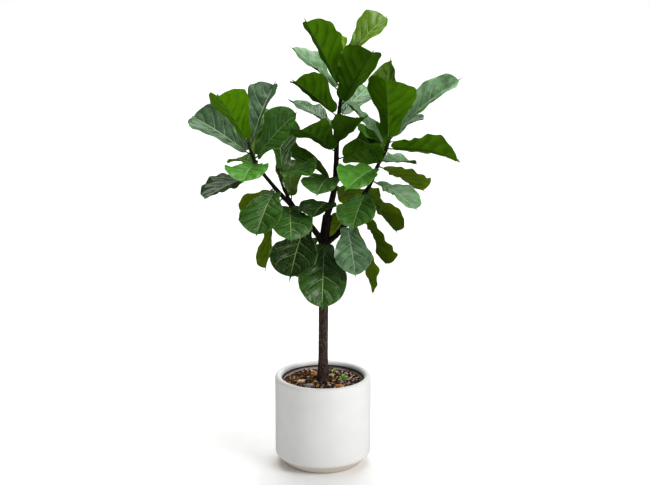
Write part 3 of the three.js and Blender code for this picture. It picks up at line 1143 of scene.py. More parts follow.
@dataclass
class Scatter:
    """Many small lumps of one kind, each a few-sided ellipsoid with its own turn and size.

    Attributes:
        name: Name of the piece.
        count: How many lumps.
        half_mm: Least and greatest half length.
        flatness: Half width and half thickness as shares of the half length.
        sink: How much of the half thickness lies under the surface.
        finish: Their material.
        seed: Seed of all draws.
        lean: How far they crowd to the right, 1, or to the left, -1.
        rows: Rings of a lump.
        columns: Corners of a ring.
        tilt: How far they lean out of the level, in radians.
        size_play: Least and greatest factor on each half axis.
        corner_play: Least and greatest factor on a corner's distance from the middle.
    """

    name: str
    count: int
    half_mm: tuple[float, float]
    flatness: tuple[float, float]
    sink: float
    finish: GrainyFinish
    seed: int
    lean: float = 0.0
    rows: int = 3
    columns: int = 6
    tilt: float = 0.5
    size_play: tuple[float, float] = (0.75, 1.25)
    corner_play: tuple[float, float] = (0.72, 1.2)

    def skins(self, bed: "SoilBed") -> list[Skin]:
        """Places every lump on the soil and joins them in one surface list.

        A lump is a ring ellipsoid whose corners are pushed in or out at random.

        Args:
            bed: Soil that the lumps lie on.

        Returns:
            One surface for each lump.
        """
        draw = np.random.default_rng(self.seed)
        spots = bed.free_spots(self.count, self.lean, draw)
        count = len(spots)
        half = draw.uniform(*self.half_mm, count) * MM
        sizes = half[:, None] * np.array([1.0, *self.flatness]) * draw.uniform(*self.size_play, (count, 3))
        play = draw.uniform(*self.corner_play, (count, self.rows, self.columns, 1))
        rough = ball_rings(self.rows, self.columns) * play * sizes[:, None, None]
        heading, pitch = draw.uniform(0, 2 * math.pi, count), draw.normal(0, self.tilt, count)
        tips = POLES * sizes[:, None]
        spots[:, 2] += sizes[:, 2] * (1 - self.sink)
        tints = draw.uniform(0, 1, count)
        made = []
        for k, spot in enumerate(spots):
            c, s, p, q = math.cos(heading[k]), math.sin(heading[k]), math.cos(pitch[k]), math.sin(pitch[k])
            turned = np.array([[c * p, -s, c * q], [s * p, c, s * q], [-q, 0.0, p]]).T
            poles = tips[k] @ turned + spot
            made.append(ring_skin(rough[k] @ turned + spot, (poles[0], poles[1]), tint=tints[k]))
        return made

    def build(self, bed: "SoilBed") -> bpy.types.Object:
        """Makes the piece that holds all the lumps."""
        return make_piece(self.name, self.skins(bed), [self.finish.build()], [], sharp=25)


@dataclass
class SoilBed:
    """Potting mix: a plug with a crumbly top, with chips of bark and grains of perlite on it."""

    around: int = 300
    across: int = 110
    trunk_radius: float = 24 * MM
    crumb: float = 7 * MM
    relief: float = 2.6 * MM
    edge_drop: float = 5 * MM
    top_drop: float = 1.5 * MM
    trunk_gap: float = 6 * MM
    wall_gap: float = 4 * MM
    taper: float = 25 * MM
    slope_from: float = 0.25
    hole_overlap: float = 2 * MM
    tone: tuple[float, float] = (0.42, 0.5)
    tone_grain: float = 12 * MM
    noise: LatticeNoise = field(default_factory=lambda: LatticeNoise(5))
    finish: GrainyFinish = GrainyFinish("coarse_potting_mix", "17100b", "33241a", "6a4d33", 2.2, 1.6, 0.93)

    def __post_init__(self) -> None:
        """Reads the plug's size from the frame."""
        self.low, self.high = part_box("soil")
        self.radius = self.high.x
        self.scatters = [
            Scatter(
                "bark_chips", 620, (3.5, 8.5), (0.5, 0.26), 0.15,
                GrainyFinish("shredded_pine_bark", "2c1a0e", "7c5026", "d0a058", 1.5, 0.6, 0.85), 11, -0.55,
            ),
            Scatter(
                "dark_crumbs", 700, (2.5, 6.0), (0.8, 0.6), 0.3,
                GrainyFinish("peat_crumbs", "0c0806", "21160f", "40291c", 1.2, 0.6, 0.95), 12,
            ),
            Scatter(
                "quartz_grit", 150, (2.6, 5.6), (0.75, 0.55), 0.1,
                GrainyFinish("rose_quartz_grit", "8a6a5c", "c4a496", "ecdcce", 1.4, 0.3, 0.8), 14, 0.9,
            ),
            Scatter(
                "perlite_grains", 90, (1.4, 3.0), (0.85, 0.75), 0.1,
                GrainyFinish("expanded_perlite", "b9b2a4", "e4dfd4", "f7f4ec", 1.0, 0.3, 0.9), 13, 0.3,
            ),
        ]  # fmt: skip

    def level(self, x: Array, y: Array) -> Array:
        """Height of the soil: a low crown at the trunk, less the edge drop, plus crumbs.

        Args:
            x: Places along X.
            y: Places along Y.

        Returns:
            Heights above the floor.
        """
        reach = np.hypot(x, y) / self.radius
        flat = np.stack([x, y, np.zeros_like(x)], axis=-1)
        crumbs = self.noise.layered(flat, self.crumb * 3, 4) * self.relief
        return self.high.z - self.top_drop - self.edge_drop * ease(reach, self.slope_from, 1.0) + crumbs

    def free_spots(self, count: int, lean: float, draw: np.random.Generator) -> Array:
        """Random places on the soil that keep off the trunk and the wall.

        Twice as many are drawn as are wanted, and those that a sloping chance ranks best stay.

        Args:
            count: How many.
            lean: How far they crowd to the right, 1, or to the left, -1.
            draw: Source of random numbers.

        Returns:
            One row of three coordinates for each place.
        """
        inner, outer = self.trunk_radius + self.trunk_gap, self.radius - self.wall_gap
        reach = np.sqrt(draw.uniform(inner**2, outer**2, 2 * count))
        turn = draw.uniform(0, 2 * math.pi, 2 * count)
        x, y = reach * np.cos(turn), reach * np.sin(turn)
        rank = draw.uniform(0, 1, 2 * count) - lean * x / self.radius
        kept = np.argsort(rank)[:count]
        return np.stack([x[kept], y[kept], self.level(x[kept], y[kept])], axis=-1)

    def build(self) -> list[bpy.types.Object]:
        """Makes the plug and what is scattered on it.

        The plug is a ring about the trunk: up the wall, in over the top, and down the hole.

        Returns:
            The pieces.
        """
        hole = self.trunk_radius - self.hole_overlap
        base = self.radius - self.taper
        top_radii = np.linspace(self.radius, hole, self.across)
        angle = circle(self.around)
        x, y = top_radii[:, None] * np.cos(angle), top_radii[:, None] * np.sin(angle)
        top = np.stack([x, y, self.level(x, y)], axis=-1)
        bottom = np.stack([x, y, np.full_like(x, self.low.z)], axis=-1)[[-1, 0]]
        bottom[1, :, :2] *= base / self.radius
        rings = np.concatenate([top, bottom])
        tint = self.tone[0] + self.tone[1] * self.noise.layered(rings, self.tone_grain, 3)
        plug = make_piece(
            "potting_soil",
            [ring_skin(rings, tint=np.clip(tint, 0, 1))],
            [self.finish.build()],
            ["soil"],
            sharp=70,
        )
        return [plug, *[scatter.build(self) for scatter in self.scatters]]


@dataclass
class Pebble:
    """Stone half sunk in the soil: an ellipsoid roughened by a random field.

    Attributes:
        name: Name of the piece.
        finish: Its material.
        slot: Material slot of the record; not used.
        node: CAD node that it stands for, if it has one.
        centre: Its centre, where it has no node.
        half: Its half axes, where it has no node.
        turn: Angle about Z, in radians.
        rows: Rings of the ball.
        columns: Points of a ring.
        shrink: Its size beside the node's.
        roughness: Height of the field beside the stone's radius.
        lump: Grain of the field beside the radius.
        tone: Middle of the tint, and how far it wanders.
        tone_grain: Grain of the tint beside the radius.
    """

    name: str
    finish: GrainyFinish
    slot: str
    node: str | None = None
    centre: tuple[float, float, float] = (0.0, 0.0, 0.0)
    half: tuple[float, float, float] = (0.0, 0.0, 0.0)
    turn: float = 0.0
    rows: int = 28
    columns: int = 44
    shrink: float = 0.99
    roughness: float = 0.16
    lump: float = 0.9
    tone: tuple[float, float] = (0.5, 0.4)
    tone_grain: float = 0.5

    def build(self) -> bpy.types.Object:
        """Makes the stone: the unit ball, flattened, pushed in and out, and set in place.

        Returns:
            The stone.
        """
        if self.node:
            low, high = (np.array(corner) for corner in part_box(self.node))
            centre, half = (low + high) / 2, (high - low) / 2 * self.shrink
        else:
            centre, half = np.array(self.centre), np.array(self.half)
        ball = ball_rings(self.rows, self.columns)
        noise = LatticeNoise(len(self.name) * 7)

        def shaped(points: Array) -> Array:
            """Pushes the ball's points along their own direction, then flattens, turns and moves them.

            Args:
                points: Points of the unit ball.

            Returns:
                The stone's points.
            """
            push = 1 + self.roughness * noise.layered(points, self.lump, 3)
            body = points * push[..., None] * half
            c, s = math.cos(self.turn), math.sin(self.turn)
            return body @ np.array([[c, s, 0], [-s, c, 0], [0, 0, 1]]) + centre

        tint = self.tone[0] + self.tone[1] * noise.layered(ball, self.tone_grain, 3)
        skin = ring_skin(shaped(ball), tuple(shaped(POLES)), tint=tint)
        stands_for = [self.node] if self.node else []
        return make_piece(self.name, [skin], [self.finish.build()], stands_for)


@dataclass
class Seedling:
    """Seedling that came up in the soil: a spiky rosette of narrow leaves on a short stem.

    Attributes:
        name: Name of the piece.
        node: CAD node that it stands for.
        leaves: How many leaves it has.
        long: Length of the longest.
        finish: Its material.
    """

    name: str
    node: str
    leaves: int
    long: float
    finish: GrainyFinish
    rows: int = 12
    columns: int = 8
    stem_radius: float = 1.2 * MM
    shortest: float = 0.75
    width: float = 0.17
    width_span: tuple[float, float] = (0.06, 0.97)
    width_power: float = 0.8
    thickness: float = 0.5 * MM
    tone: tuple[float, float] = (0.15, 0.8)
    rosette_drop: float = 0.74
    rosette_spread: float = 0.35
    steepest: float = 80.0
    flattest: float = 12.0
    droop: float = 0.25
    fold: float = 0.35
    golden_angle: float = math.radians(137.5)

    def leaflet(self, number: int, foot: Array) -> Skin:
        """One narrow leaf: flat ellipses along a path that rises and then droops.

        The inner leaves stand, the outer ones lie out, and each is folded along its middle.

        Args:
            number: Which leaf, from the innermost.
            foot: Where it leaves the stem.

        Returns:
            The leaf.
        """
        share = number / self.leaves
        rise = math.radians(self.steepest + (self.flattest - self.steepest) * share)
        t = np.linspace(0, 1, self.rows)
        reach = self.long * (self.shortest + (1 - self.shortest) * share)
        heading = number * self.golden_angle
        ahead = np.array([math.cos(heading), math.sin(heading), 0.0])
        side = np.array([-math.sin(heading), math.cos(heading), 0.0])
        droop = self.droop * share * t**2
        path = foot + reach * (t[:, None] * ahead * math.cos(rise))
        path[:, 2] += reach * (t * math.sin(rise) - droop)
        swell = np.sin(np.pi * np.clip(t, *self.width_span) ** self.width_power)
        width = self.long * self.width * swell
        angle = circle(self.columns)
        rings = path[:, None] + width[:, None, None] * np.cos(angle)[None, :, None] * side
        fold = np.abs(np.cos(angle))[None] * width[:, None] * self.fold
        rings[..., 2] += fold + self.thickness * np.sin(angle)[None]
        tint = self.tone[0] + self.tone[1] * t[:, None]
        return ring_skin(rings, (path[0], path[-1]), tint=tint)

    def build(self) -> bpy.types.Object:
        """Makes the stem and the rosette, whose leaves start lower the further out they lie.

        Returns:
            The seedling.
        """
        low, high = (np.array(corner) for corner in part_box(self.node))
        centre = (low + high) / 2
        foot = np.array([centre[0], centre[1], low[2]])
        top = np.array([centre[0], centre[1], high[2] - self.rosette_drop * self.long])
        stem = tube_skin(np.linspace(foot, top, 8), np.full(8, self.stem_radius), 8, np.array([1.0, 0, 0]))
        spread = self.rosette_spread * self.long / self.leaves
        rosette = [self.leaflet(k, top - [0, 0, spread * k]) for k in range(self.leaves)]
        return make_piece(self.name, [stem, *rosette], [self.finish.build()], [self.node])


# ---------------------------------------------------------------- wood


@dataclass
class Wood:
    """Trunk and branches: the frame's own form, rounded, cracked and swollen at each leaf."""

    voxel: float = 2.0 * MM
    smoothing: int = 10
    ridge: float = 0.9 * MM
    grain: float = 5.0 * MM
    stretch: float = 0.2
    twig_share: float = 0.35
    node_swell: float = 1.5 * MM
    node_reach: float = 8.0 * MM
    youth_reach: float = 95 * MM
    youth_core: float = 0.25
    trunk_reach: float = 40 * MM
    trunk_top: float = 0.9
    trunk_fade: float = 0.1
    youth: float = 0.85
    finish: FigBark = FigBark()

    def rounded(self) -> tuple[Array, Array]:
        """Frame's wood made anew in even small faces and smoothed, so that its edges go.

        Returns:
            The corner points and the faces, four corners each.
        """
        points, triangles = merged_node("wood")
        mesh = bpy.data.meshes.new("wood_form")
        mesh.from_pydata(points.tolist(), [], triangles.tolist())
        form = placed("wood_form", mesh)
        remesh = form.modifiers.new("even", "REMESH")
        remesh.mode = "VOXEL"
        remesh.voxel_size = self.voxel
        smooth = form.modifiers.new("smooth", "SMOOTH")
        smooth.iterations = self.smoothing
        made = form.evaluated_get(bpy.context.evaluated_depsgraph_get()).to_mesh()
        even, corners = read_mesh(made)
        form.to_mesh_clear()
        bpy.data.objects.remove(form)
        bpy.data.meshes.remove(mesh)
        return even, corners.reshape(-1, 4)

    def barked(self, points: Array, normals: Array, feet: Array, ends: Array) -> tuple[Array, Array]:
        """Pushes the points out by ridges and swellings, and tells how young the wood is.

        Ridges are a random field stretched along Z, sharpened by taking one less its size. A
        swelling is a bell curve of the distance to a leaf's foot.

        Args:
            points: Corner points.
            normals: Outward direction at each point.
            feet: Where the petioles leave the wood.
            ends: Where the twigs end.

        Returns:
            The new points, and a youth from 0 to 1 for each.
        """
        noise = LatticeNoise(23)
        stretched = points * np.array([1.0, 1.0, self.stretch])
        ridges = 1 - 2 * np.abs(noise.layered(stretched, self.grain, 3))
        away = np.hypot(points[:, 0], points[:, 1])
        is_trunk = 1 - ease(points[:, 2], self.trunk_top, self.trunk_top + self.trunk_fade)
        is_trunk *= 1 - ease(away, self.trunk_reach, 2 * self.trunk_reach)
        height = self.ridge * ridges * (self.twig_share + (1 - self.twig_share) * is_trunk)
        to_foot = np.linalg.norm(points[:, None] - feet[None], axis=-1).min(axis=1)
        to_end = np.linalg.norm(points[:, None] - ends[None], axis=-1).min(axis=1)
        swell = self.node_swell * np.exp(-((to_foot / self.node_reach) ** 2))
        youth = 1 - ease(to_end, self.youth_core * self.youth_reach, self.youth_reach)
        return points + normals * (height + swell)[:, None], self.youth * youth

    def build(self, feet: Array, ends: Array) -> bpy.types.Object:
        """Makes the wood.

        Args:
            feet: Where the petioles leave the wood.
            ends: Where the twigs end.

        Returns:
            The wood.
        """
        points, faces = self.rounded()
        a, b, c, d = (points[faces[:, k]] for k in range(4))
        face_normals = np.cross(c - a, d - b)
        normals = np.zeros_like(points)
        for k in range(4):
            np.add.at(normals, faces[:, k], face_normals)
        moved, youth = self.barked(points, unit(normals), feet, ends)
        uv = moved[:, [0, 2]]
        skin = Skin(moved, faces, uv, np.zeros(len(faces), int), youth)
        return make_piece("fig_wood", [skin.outward()], [self.finish.build()], ["wood"], sharp=80)


@dataclass
class Bud:
    """Pointed bud at the end of a twig, wrapped in its brown sheath."""

    rows: int = 14
    sides: int = 14
    long: float = 20 * MM
    radius: float = 4.2 * MM
    end_radius: float = 0.25 * MM
    swell: tuple[float, float] = (0.75, 0.6)
    taper_power: float = 1.6
    bow: tuple[float, float, float] = (0.12, -0.08, 0.0)
    finish: GrainyFinish = GrainyFinish(
        "papery_bud_sheath", "4b3a22", "76672f", "95964a", 4.0, 0.3, 0.55, 1.45
    )

    def build(self, name: str, foot: Array, way: Array) -> bpy.types.Object:
        """Makes the bud: rings whose radius swells and then runs out in a point.

        Args:
            name: Name of the piece.
            foot: Where it sits.
            way: Direction that it points in.

        Returns:
            The bud.
        """
        t = np.linspace(0, 1, self.rows)
        path = foot + self.long * (t[:, None] * way) + t[:, None] ** 2 * (np.array(self.bow) * self.long)
        swollen = self.radius * (self.swell[0] + self.swell[1] * t)
        radii = swollen * (1 - t**self.taper_power) + self.end_radius
        skin = tube_skin(path, radii, self.sides, np.array([1.0, 0.3, 0.0]))
        skin.tint = np.clip(skin.uv[:, 0] * 1.1, 0, 1)
        return make_piece(name, [skin], [self.finish.build()], [])


# ---------------------------------------------------------------- leaves


class Tone(Enum):
    """Kind of green: plain, olive, a pale grey-green that is painted sheen, or the yellow of new growth."""

    GREEN = "green"
    OLIVE = "olive"
    SILVERY = "silvery"
    YOUNG = "young"


@dataclass(frozen=True)
class LeafColours:
    """Colours of one tone of leaf, as sRGB hex.

    Attributes:
        upper: The upper face's darkest and lightest leaf, and its veins.
        under: The same for the under face, whose veins are painted dark as the shade beside them.
        rib: The midrib and petiole, dark, middling and light.
        mottle: How far the upper face's lightness wanders.
        vein_shade: Share of the wandering that follows the veins: painted shade beside, painted highlight
            between.
    """

    upper: tuple[str, str, str]
    under: tuple[str, str, str]
    rib: tuple[str, str, str]
    mottle: float = 0.28
    vein_shade: float = 0.45


# Under-face veins are darker than the blade: painted shade beside the standing veins.
LEAF_COLOURS = {
    Tone.GREEN: LeafColours(
        ("0b2507", "56a82a", "b8d486"), ("132a02", "66a204", "1c3602"), ("1c3406", "42681a", "86a044")
    ),
    Tone.OLIVE: LeafColours(
        ("1a2808", "6e982c", "9cae58"), ("182602", "74960c", "223004"), ("1e2c04", "4e6414", "88984a")
    ),
    # Pale grey-green upper face: painted sheen, its stronger mottle painted highlights between the veins and
    # painted shade beside them.
    Tone.SILVERY: LeafColours(
        ("163614", "98cc92", "d0e6c0"),
        ("1c3606", "6f9a2c", "26400c"),
        ("22380e", "5a7a34", "96b064"),
        mottle=0.42,
        vein_shade=0.3,
    ),
    Tone.YOUNG: LeafColours(
        ("3a6008", "a2d23a", "d0e886"), ("3f6a08", "9cd030", "b4d458"), ("5a7c1c", "94b840", "c4d878")
    ),
}

# How light each leaf is, from 0 to 1, set leaf by leaf to how light it looks: partly its own tone, for the
# darkest leaves deep in the crown painted shade, and for the pale grey-green ones painted sheen.
LEAF_LIGHT = {
    Tone.GREEN: {
        "leader_01": 0.34, "leader_05": 0.2, "leader_06": 0.2, "leader_08": 0.18, "leader_10": 0.18,
        "leader_11": 0.2, "leader_12": 0.18, "leader_13": 0.2, "leader_15": 0.06, "trunk_01": 0.13,
        "left_01": 0.5, "left_04": 0.26, "left_05": 0.25, "left_07": 0.5, "left_08": 0.04,
        "left_09": 0.21, "left_12": 0.16, "left_13": 0.02, "inner_01": 0.25, "inner_02": 0.16,
        "right_01": 0.34, "right_04": 0.4, "right_12": 0.2, "right_13": 0.2, "right_15": 0.24,
        "right_17": 0.5,
    },
    Tone.OLIVE: {
        "leader_14": 0.34, "trunk_02": 0.36, "left_06": 0.5, "left_10": 0.42, "left_11": 0.44,
        "inner_03": 0.34, "right_06": 0.36, "right_08": 0.3, "right_09": 0.3, "right_10": 0.5,
        "right_18": 0.36,
    },
    Tone.SILVERY: {
        "leader_04": 0.45, "leader_07": 0.2, "leader_09": 0.3, "left_02": 0.15, "left_03": 0.11,
        "right_02": 0.32, "right_03": 0.1, "right_05": 0.35, "right_07": 0.3, "right_11": 0.3,
        "right_16": 0.22,
    },
    Tone.YOUNG: {"leader_02": 0.14, "leader_03": 0.6, "right_14": 0.12},
}  # fmt: skip


@dataclass
class Blade:
    """A leaf's form as the frame holds it, read from its rings.

    The frame's leaf is three round rings of the petiole and seven flat rings of the blade between
    two poles. Its midrib is an arc, and each half lifts from it by one angle.
    """

    node: str
    stations: tuple[float, ...] = (0.06, 0.2, 0.36, 0.52, 0.68, 0.83, 0.95)
    petiole_rings: int = 3
    ring_size: int = 10

    def __post_init__(self) -> None:
        """Reads the form."""
        petiole, top, under, self.tip = self.read_rings()
        self.foot, self.elbow, self.base = petiole
        self.read_axes(top, under)
        self.read_sizes(top, under)

    def read_rings(self) -> tuple[Array, Array, Array, Array]:
        """Walks the node's corners from the foot to the tip, ring by ring.

        Returns:
            The petiole's ring centres, the upper and the under corners of the blade's rings, in
            rows of five from one margin to the other, and the tip.
        """
        points, triangles = merged_node(self.node)
        joined = np.zeros((len(points), len(points)), bool)
        for a, b in ((0, 1), (1, 2), (2, 0)):
            joined[triangles[:, a], triangles[:, b]] = True
            joined[triangles[:, b], triangles[:, a]] = True
        poles = np.flatnonzero(joined.sum(axis=1) == self.ring_size)
        spread = [np.ptp(points[joined[pole]], axis=0).max() for pole in poles]
        foot = poles[int(np.argmin(spread))]
        tip = poles[int(np.argmax(spread))]
        seen = np.zeros(len(points), bool)
        seen[foot] = True
        rings = []
        for _ in range(self.petiole_rings + len(self.stations)):
            level = joined[seen].any(axis=0) & ~seen
            rings.append(points[self.walk(np.flatnonzero(level), joined)])
            seen |= level
        petiole = np.array([ring.mean(axis=0) for ring in rings[: self.petiole_rings]])
        faces = np.array([self.two_faces(ring) for ring in rings[self.petiole_rings :]])
        return petiole, faces[:, 0], faces[:, 1], points[tip]

    @staticmethod
    def walk(members: Array, joined: Array) -> list[int]:
        """Corners of one ring in the order in which they are joined.

        Args:
            members: Corner numbers of the ring.
            joined: Which corners are joined by an edge.

        Returns:
            The numbers, once round.
        """
        order = [int(members[0])]
        left = set(members.tolist()) - {order[0]}
        while left:
            follows = next(k for k in left if joined[order[-1], k])
            order.append(follows)
            left.remove(follows)
        return order

    @staticmethod
    def two_faces(ring: Array) -> Array:
        """Splits a blade's ring at its two short edges, which are its margins.

        Args:
            ring: Its ten corners in order.

        Returns:
            Two rows of five corners, each from the same margin to the other.
        """
        edges = np.linalg.norm(np.roll(ring, -1, axis=0) - ring, axis=1)
        half = len(ring) // 2
        margin = int(np.argmin(edges[:half] + edges[half:]))
        turned = np.roll(ring, -(margin + 1), axis=0)
        return np.array([turned[:half], turned[half:][::-1]])

    def read_axes(self, top: Array, under: Array) -> None:
        """Finds the blade's directions, and puts the rings' corners in one order.

        The faces are told apart by the halves, which lift towards the upper face.

        Args:
            top: One face's corners, whichever came first.
            under: The other face's corners.
        """
        self.along = unit(self.tip - self.base)
        way = unit(top[:, HALFWAY].mean(axis=1) - under[:, HALFWAY].mean(axis=1))
        for k in range(1, len(way)):
            if way[k] @ way[k - 1] < 0:
                top[k], under[k] = under[k].copy(), top[k].copy()
                way[k] = -way[k]
        raised = (top[:, MARGINS].mean(axis=1) - top[:, MIDRIB]) * way
        if raised.sum() < 0:
            top[:], under[:] = under.copy(), top.copy()
            way = -way
        self.left = unit(np.cross(way, self.along).sum(axis=0))
        self.up = np.cross(self.along, self.left)
        reversed_rows = (top[:, -1] - top[:, 0]) @ self.left < 0
        top[reversed_rows] = top[reversed_rows, ::-1]
        under[reversed_rows] = under[reversed_rows, ::-1]
        self.way = way

    def read_sizes(self, top: Array, under: Array) -> None:
        """Measures length, width, bend, lift and the margins' waves.

        Args:
            top: Upper corners, from the right margin to the left one.
            under: Under corners in the same order.
        """
        stations = np.array(self.stations)
        angles = np.arctan2(self.way @ self.along, self.way @ self.up)
        self.turn = float(np.polyfit(stations, angles, 1)[0])
        chord = np.linalg.norm(self.tip - self.base)
        self.long = chord * (self.turn / 2) / math.sin(self.turn / 2)
        middle = (top + under) / 2
        thickness = np.linalg.norm(top[:, HALFWAY[0]] - under[:, HALFWAY[0]], axis=1)
        middle[:, MIDRIB] = top[:, MIDRIB] - self.way * thickness[:, None] / 2
        from_rib = middle - middle[:, [MIDRIB]]
        across = from_rib @ self.left
        raised = np.einsum("ijk,ik->ij", from_rib, self.way)
        flat = (across[:, -1] - across[:, 0]) / 2
        full, half = raised[:, MARGINS].mean(axis=1), raised[:, HALFWAY].mean(axis=1)
        lifted = 4 * half - full
        self.lift = math.atan2(lifted.sum(), flat.sum())
        half_width = flat / math.cos(self.lift)
        self.half = float(half_width.max())
        waves = raised[:, MARGINS] - (half_width * math.sin(self.lift))[:, None]
        self.knots = np.concatenate([[0.0], stations, [1.0]])
        self.waves = np.concatenate([np.zeros((1, 2)), waves, np.zeros((1, 2))])

    def face(self, u: Array) -> Array:
        """Direction out of the upper face: the up direction turned by the bend's share."""
        t = (self.turn * (u - 0.5))[..., None]
        return self.up * np.cos(t) + self.along * np.sin(t)

    def midrib(self, u: Array) -> Array:
        """Points of the midrib: an arc from base to tip.

        Args:
            u: Places along it.

        Returns:
            The points.
        """
        t = (self.turn * (0.5 - u))[..., None]
        radius = self.long / self.turn
        ahead = radius * (math.sin(self.turn / 2) - np.sin(t))
        above = radius * (np.cos(t) - math.cos(self.turn / 2))
        return self.base + self.along * ahead + self.up * above


@dataclass
class FigLeaf:
    """One fiddle-shaped leaf: a quilted, wavy blade, its veins standing out below, and its petiole."""

    name: str
    tone: Tone
    light: float
    number: int
    rows: int = 78
    half_columns: int = 16
    crowding: float = 1.4
    thickness: float = 0.9 * MM
    neck: float = 0.12
    waist: float = 0.44
    widest: float = 0.66
    scallop: float = 0.024
    lobe: float = 0.045
    lobe_end: float = 0.22
    calm_base: tuple[float, float] = (0.05, 0.3)
    calm_tip: tuple[float, float] = (0.85, 1.0)
    crease: float = 0.6
    quilt: float = 5.6 * MM
    quilt_from: float = 0.3
    quilt_fade: float = 0.6
    crinkle: float = 1.4 * MM
    crinkle_from: float = 0.2
    crinkle_grain: float = 26 * MM
    cup: float = 1.12
    groove: float = 0.9 * MM
    groove_reach: float = 3.5 * MM
    usual_long: float = 0.22
    ruffle: float = 3.2 * MM
    ruffles: tuple[float, float] = (3.2, 5.2)
    ruffle_lag: float = 0.1
    span: tuple[float, float] = (0.004, 0.994)
    evenness: float = 0.6
    edge_power: int = 8
    point: tuple[float, float] = (9 * MM, 24 * MM)
    point_half: tuple[float, float] = (5.2 * MM, 1.5 * MM)
    point_from: float = 0.93
    point_curl: float = 0.15
    point_uv: tuple[float, float] = (0.97, 0.7)
    petiole_radius: float = 2.5 * MM
    petiole_flare: float = 0.35
    petiole_bend: float = 0.35
    rib_span: tuple[float, float] = (0.03, 0.985)
    rib_power: float = 0.8
    rib_end: float = 0.45 * MM
    rib_sink: float = 0.8 * MM
    vein_radius: float = 0.95 * MM
    vein_taper: tuple[float, float] = (0.75, 0.5)
    vein_starts: tuple[float, float] = (0.03, 0.9)
    vein_reach: tuple[float, float] = (0.015, 0.86)
    veins_end: float = 0.97
    veins: VeinPlan = VeinPlan()
    noise: LatticeNoise = field(default_factory=lambda: LatticeNoise(31))

    def __post_init__(self) -> None:
        """Reads the form from the frame and draws what is this leaf's own."""
        self.node = f"leaf_{self.name}"
        self.blade = Blade(self.node)
        draw = np.random.default_rng(900 + self.number)
        self.phases = draw.uniform(0, 2 * math.pi, 2)
        self.ruffle_count = draw.uniform(*self.ruffles)
        self.point_long = draw.uniform(*self.point)
        self.size = self.blade.long / self.usual_long

    def outline(self, u: Array) -> Array:
        """Half width as a share of the greatest: round neck, slow widening, round end.

        Args:
            u: Places along the blade.

        Returns:
            The shares.
        """
        neck = self.waist * np.sqrt(np.clip(1 - (1 - u / self.neck) ** 2, 0.0, 1.0))
        body = self.waist + (1 - self.waist) * ease(u, self.neck, self.widest)
        past = np.clip(u - self.widest, 0, None) / (1 - self.widest)
        end = np.sqrt(np.clip(1 - past**2, 0, 1))
        return np.where(u < self.neck, neck, np.where(u < self.widest, body, end))

    def surface(self, u: Array, v: Array) -> Array:
        """Middle layer of the blade.

        A point is on the midrib's arc, moved out by v half widths along the lifted half, with the
        margin scalloped between the veins. It is raised by the frame's margin wave, by ruffles
        that grow with the fourth power of v, by a quilt of rounded swellings that meet in a crease
        on each vein, and by a crinkle.

        Args:
            u: Places along the blade, 0 to 1.
            v: Places across it, -1 to 1.

        Returns:
            The points.
        """
        blade = self.blade
        out = np.abs(v)
        back = self.lobe * out**1.5 * (1 - ease(u, 0.0, self.lobe_end))
        number = self.veins.number(u, v)
        from_vein = np.abs((number + 0.5) % 1.0 - 0.5) * 2
        ends = ease(u, *self.calm_base) * (1 - ease(u, *self.calm_tip))
        swelling = from_vein * (2 - from_vein) - self.crease
        scallop = self.scallop * swelling * out**2 * ends
        half = blade.half * self.outline(u) * (1 + scallop)
        is_left = v > 0
        right, left = (through(u, blade.knots, blade.waves[:, k]) for k in (0, 1))
        wave = np.where(is_left, left, right)
        swing = np.where(is_left, self.phases[0], self.phases[1])
        ripple = np.sin(2 * math.pi * self.ruffle_count * (u - self.ruffle_lag * out) + swing)
        ruffle = self.ruffle * out**4 * ends * ripple
        quilt = self.quilt * swelling * ease(out, 0.0, self.quilt_from)
        quilt = quilt * (1 - self.quilt_fade * out**3) * ends
        flat = np.stack([u * blade.long, v * half, np.full_like(u, 0.37 * self.number)], axis=-1)
        crinkle = self.crinkle * self.noise.layered(flat, self.crinkle_grain, 3)
        crinkle = crinkle * ease(out, 0.0, self.crinkle_from)
        groove = -self.groove * np.exp(-((out * half / self.groove_reach) ** 2))
        height = out**self.cup * half * math.sin(blade.lift) + out**2 * wave
        height = height + self.size * (ruffle + quilt + crinkle) + groove
        side = (v * half * math.cos(blade.lift))[..., None]
        return blade.midrib(u - back) + blade.left * side + blade.face(u) * height[..., None]

    def blade_skin(self) -> Skin:
        """Closed blade: rings over the upper face from right to left and back underneath.

        Returns:
            The blade, its under face numbered 1.
        """
        s = np.linspace(0, 1, self.rows)
        crowded = (1 - np.cos(math.pi * s)) / 2
        u = self.span[0] + self.span[1] * (self.evenness * s + (1 - self.evenness) * crowded)
        half = np.linspace(0, 1, self.half_columns + 1) ** self.crowding
        v = np.concatenate([-half[:0:-1], half])
        v_round = np.concatenate([v, v[-2:0:-1]])
        is_under = np.arange(len(v_round)) >= len(v)
        along, across = np.meshgrid(u, v_round, indexing="ij")
        sign = np.where(is_under, -1.0, 1.0)
        thick = self.thickness / 2 * (1 - np.abs(v_round) ** self.edge_power) * sign
        rings = self.surface(along, across) + self.blade.face(along) * thick[None, :, None]
        uv = np.stack([along, across * 0.5 + 0.5], axis=-1)
        under_face = np.arange(len(v_round)) >= len(v) - 1
        poles = (rings[0].mean(axis=0), rings[-1].mean(axis=0))
        return ring_skin(rings, poles, uv=uv, finish=under_face.astype(int), tint=self.light)

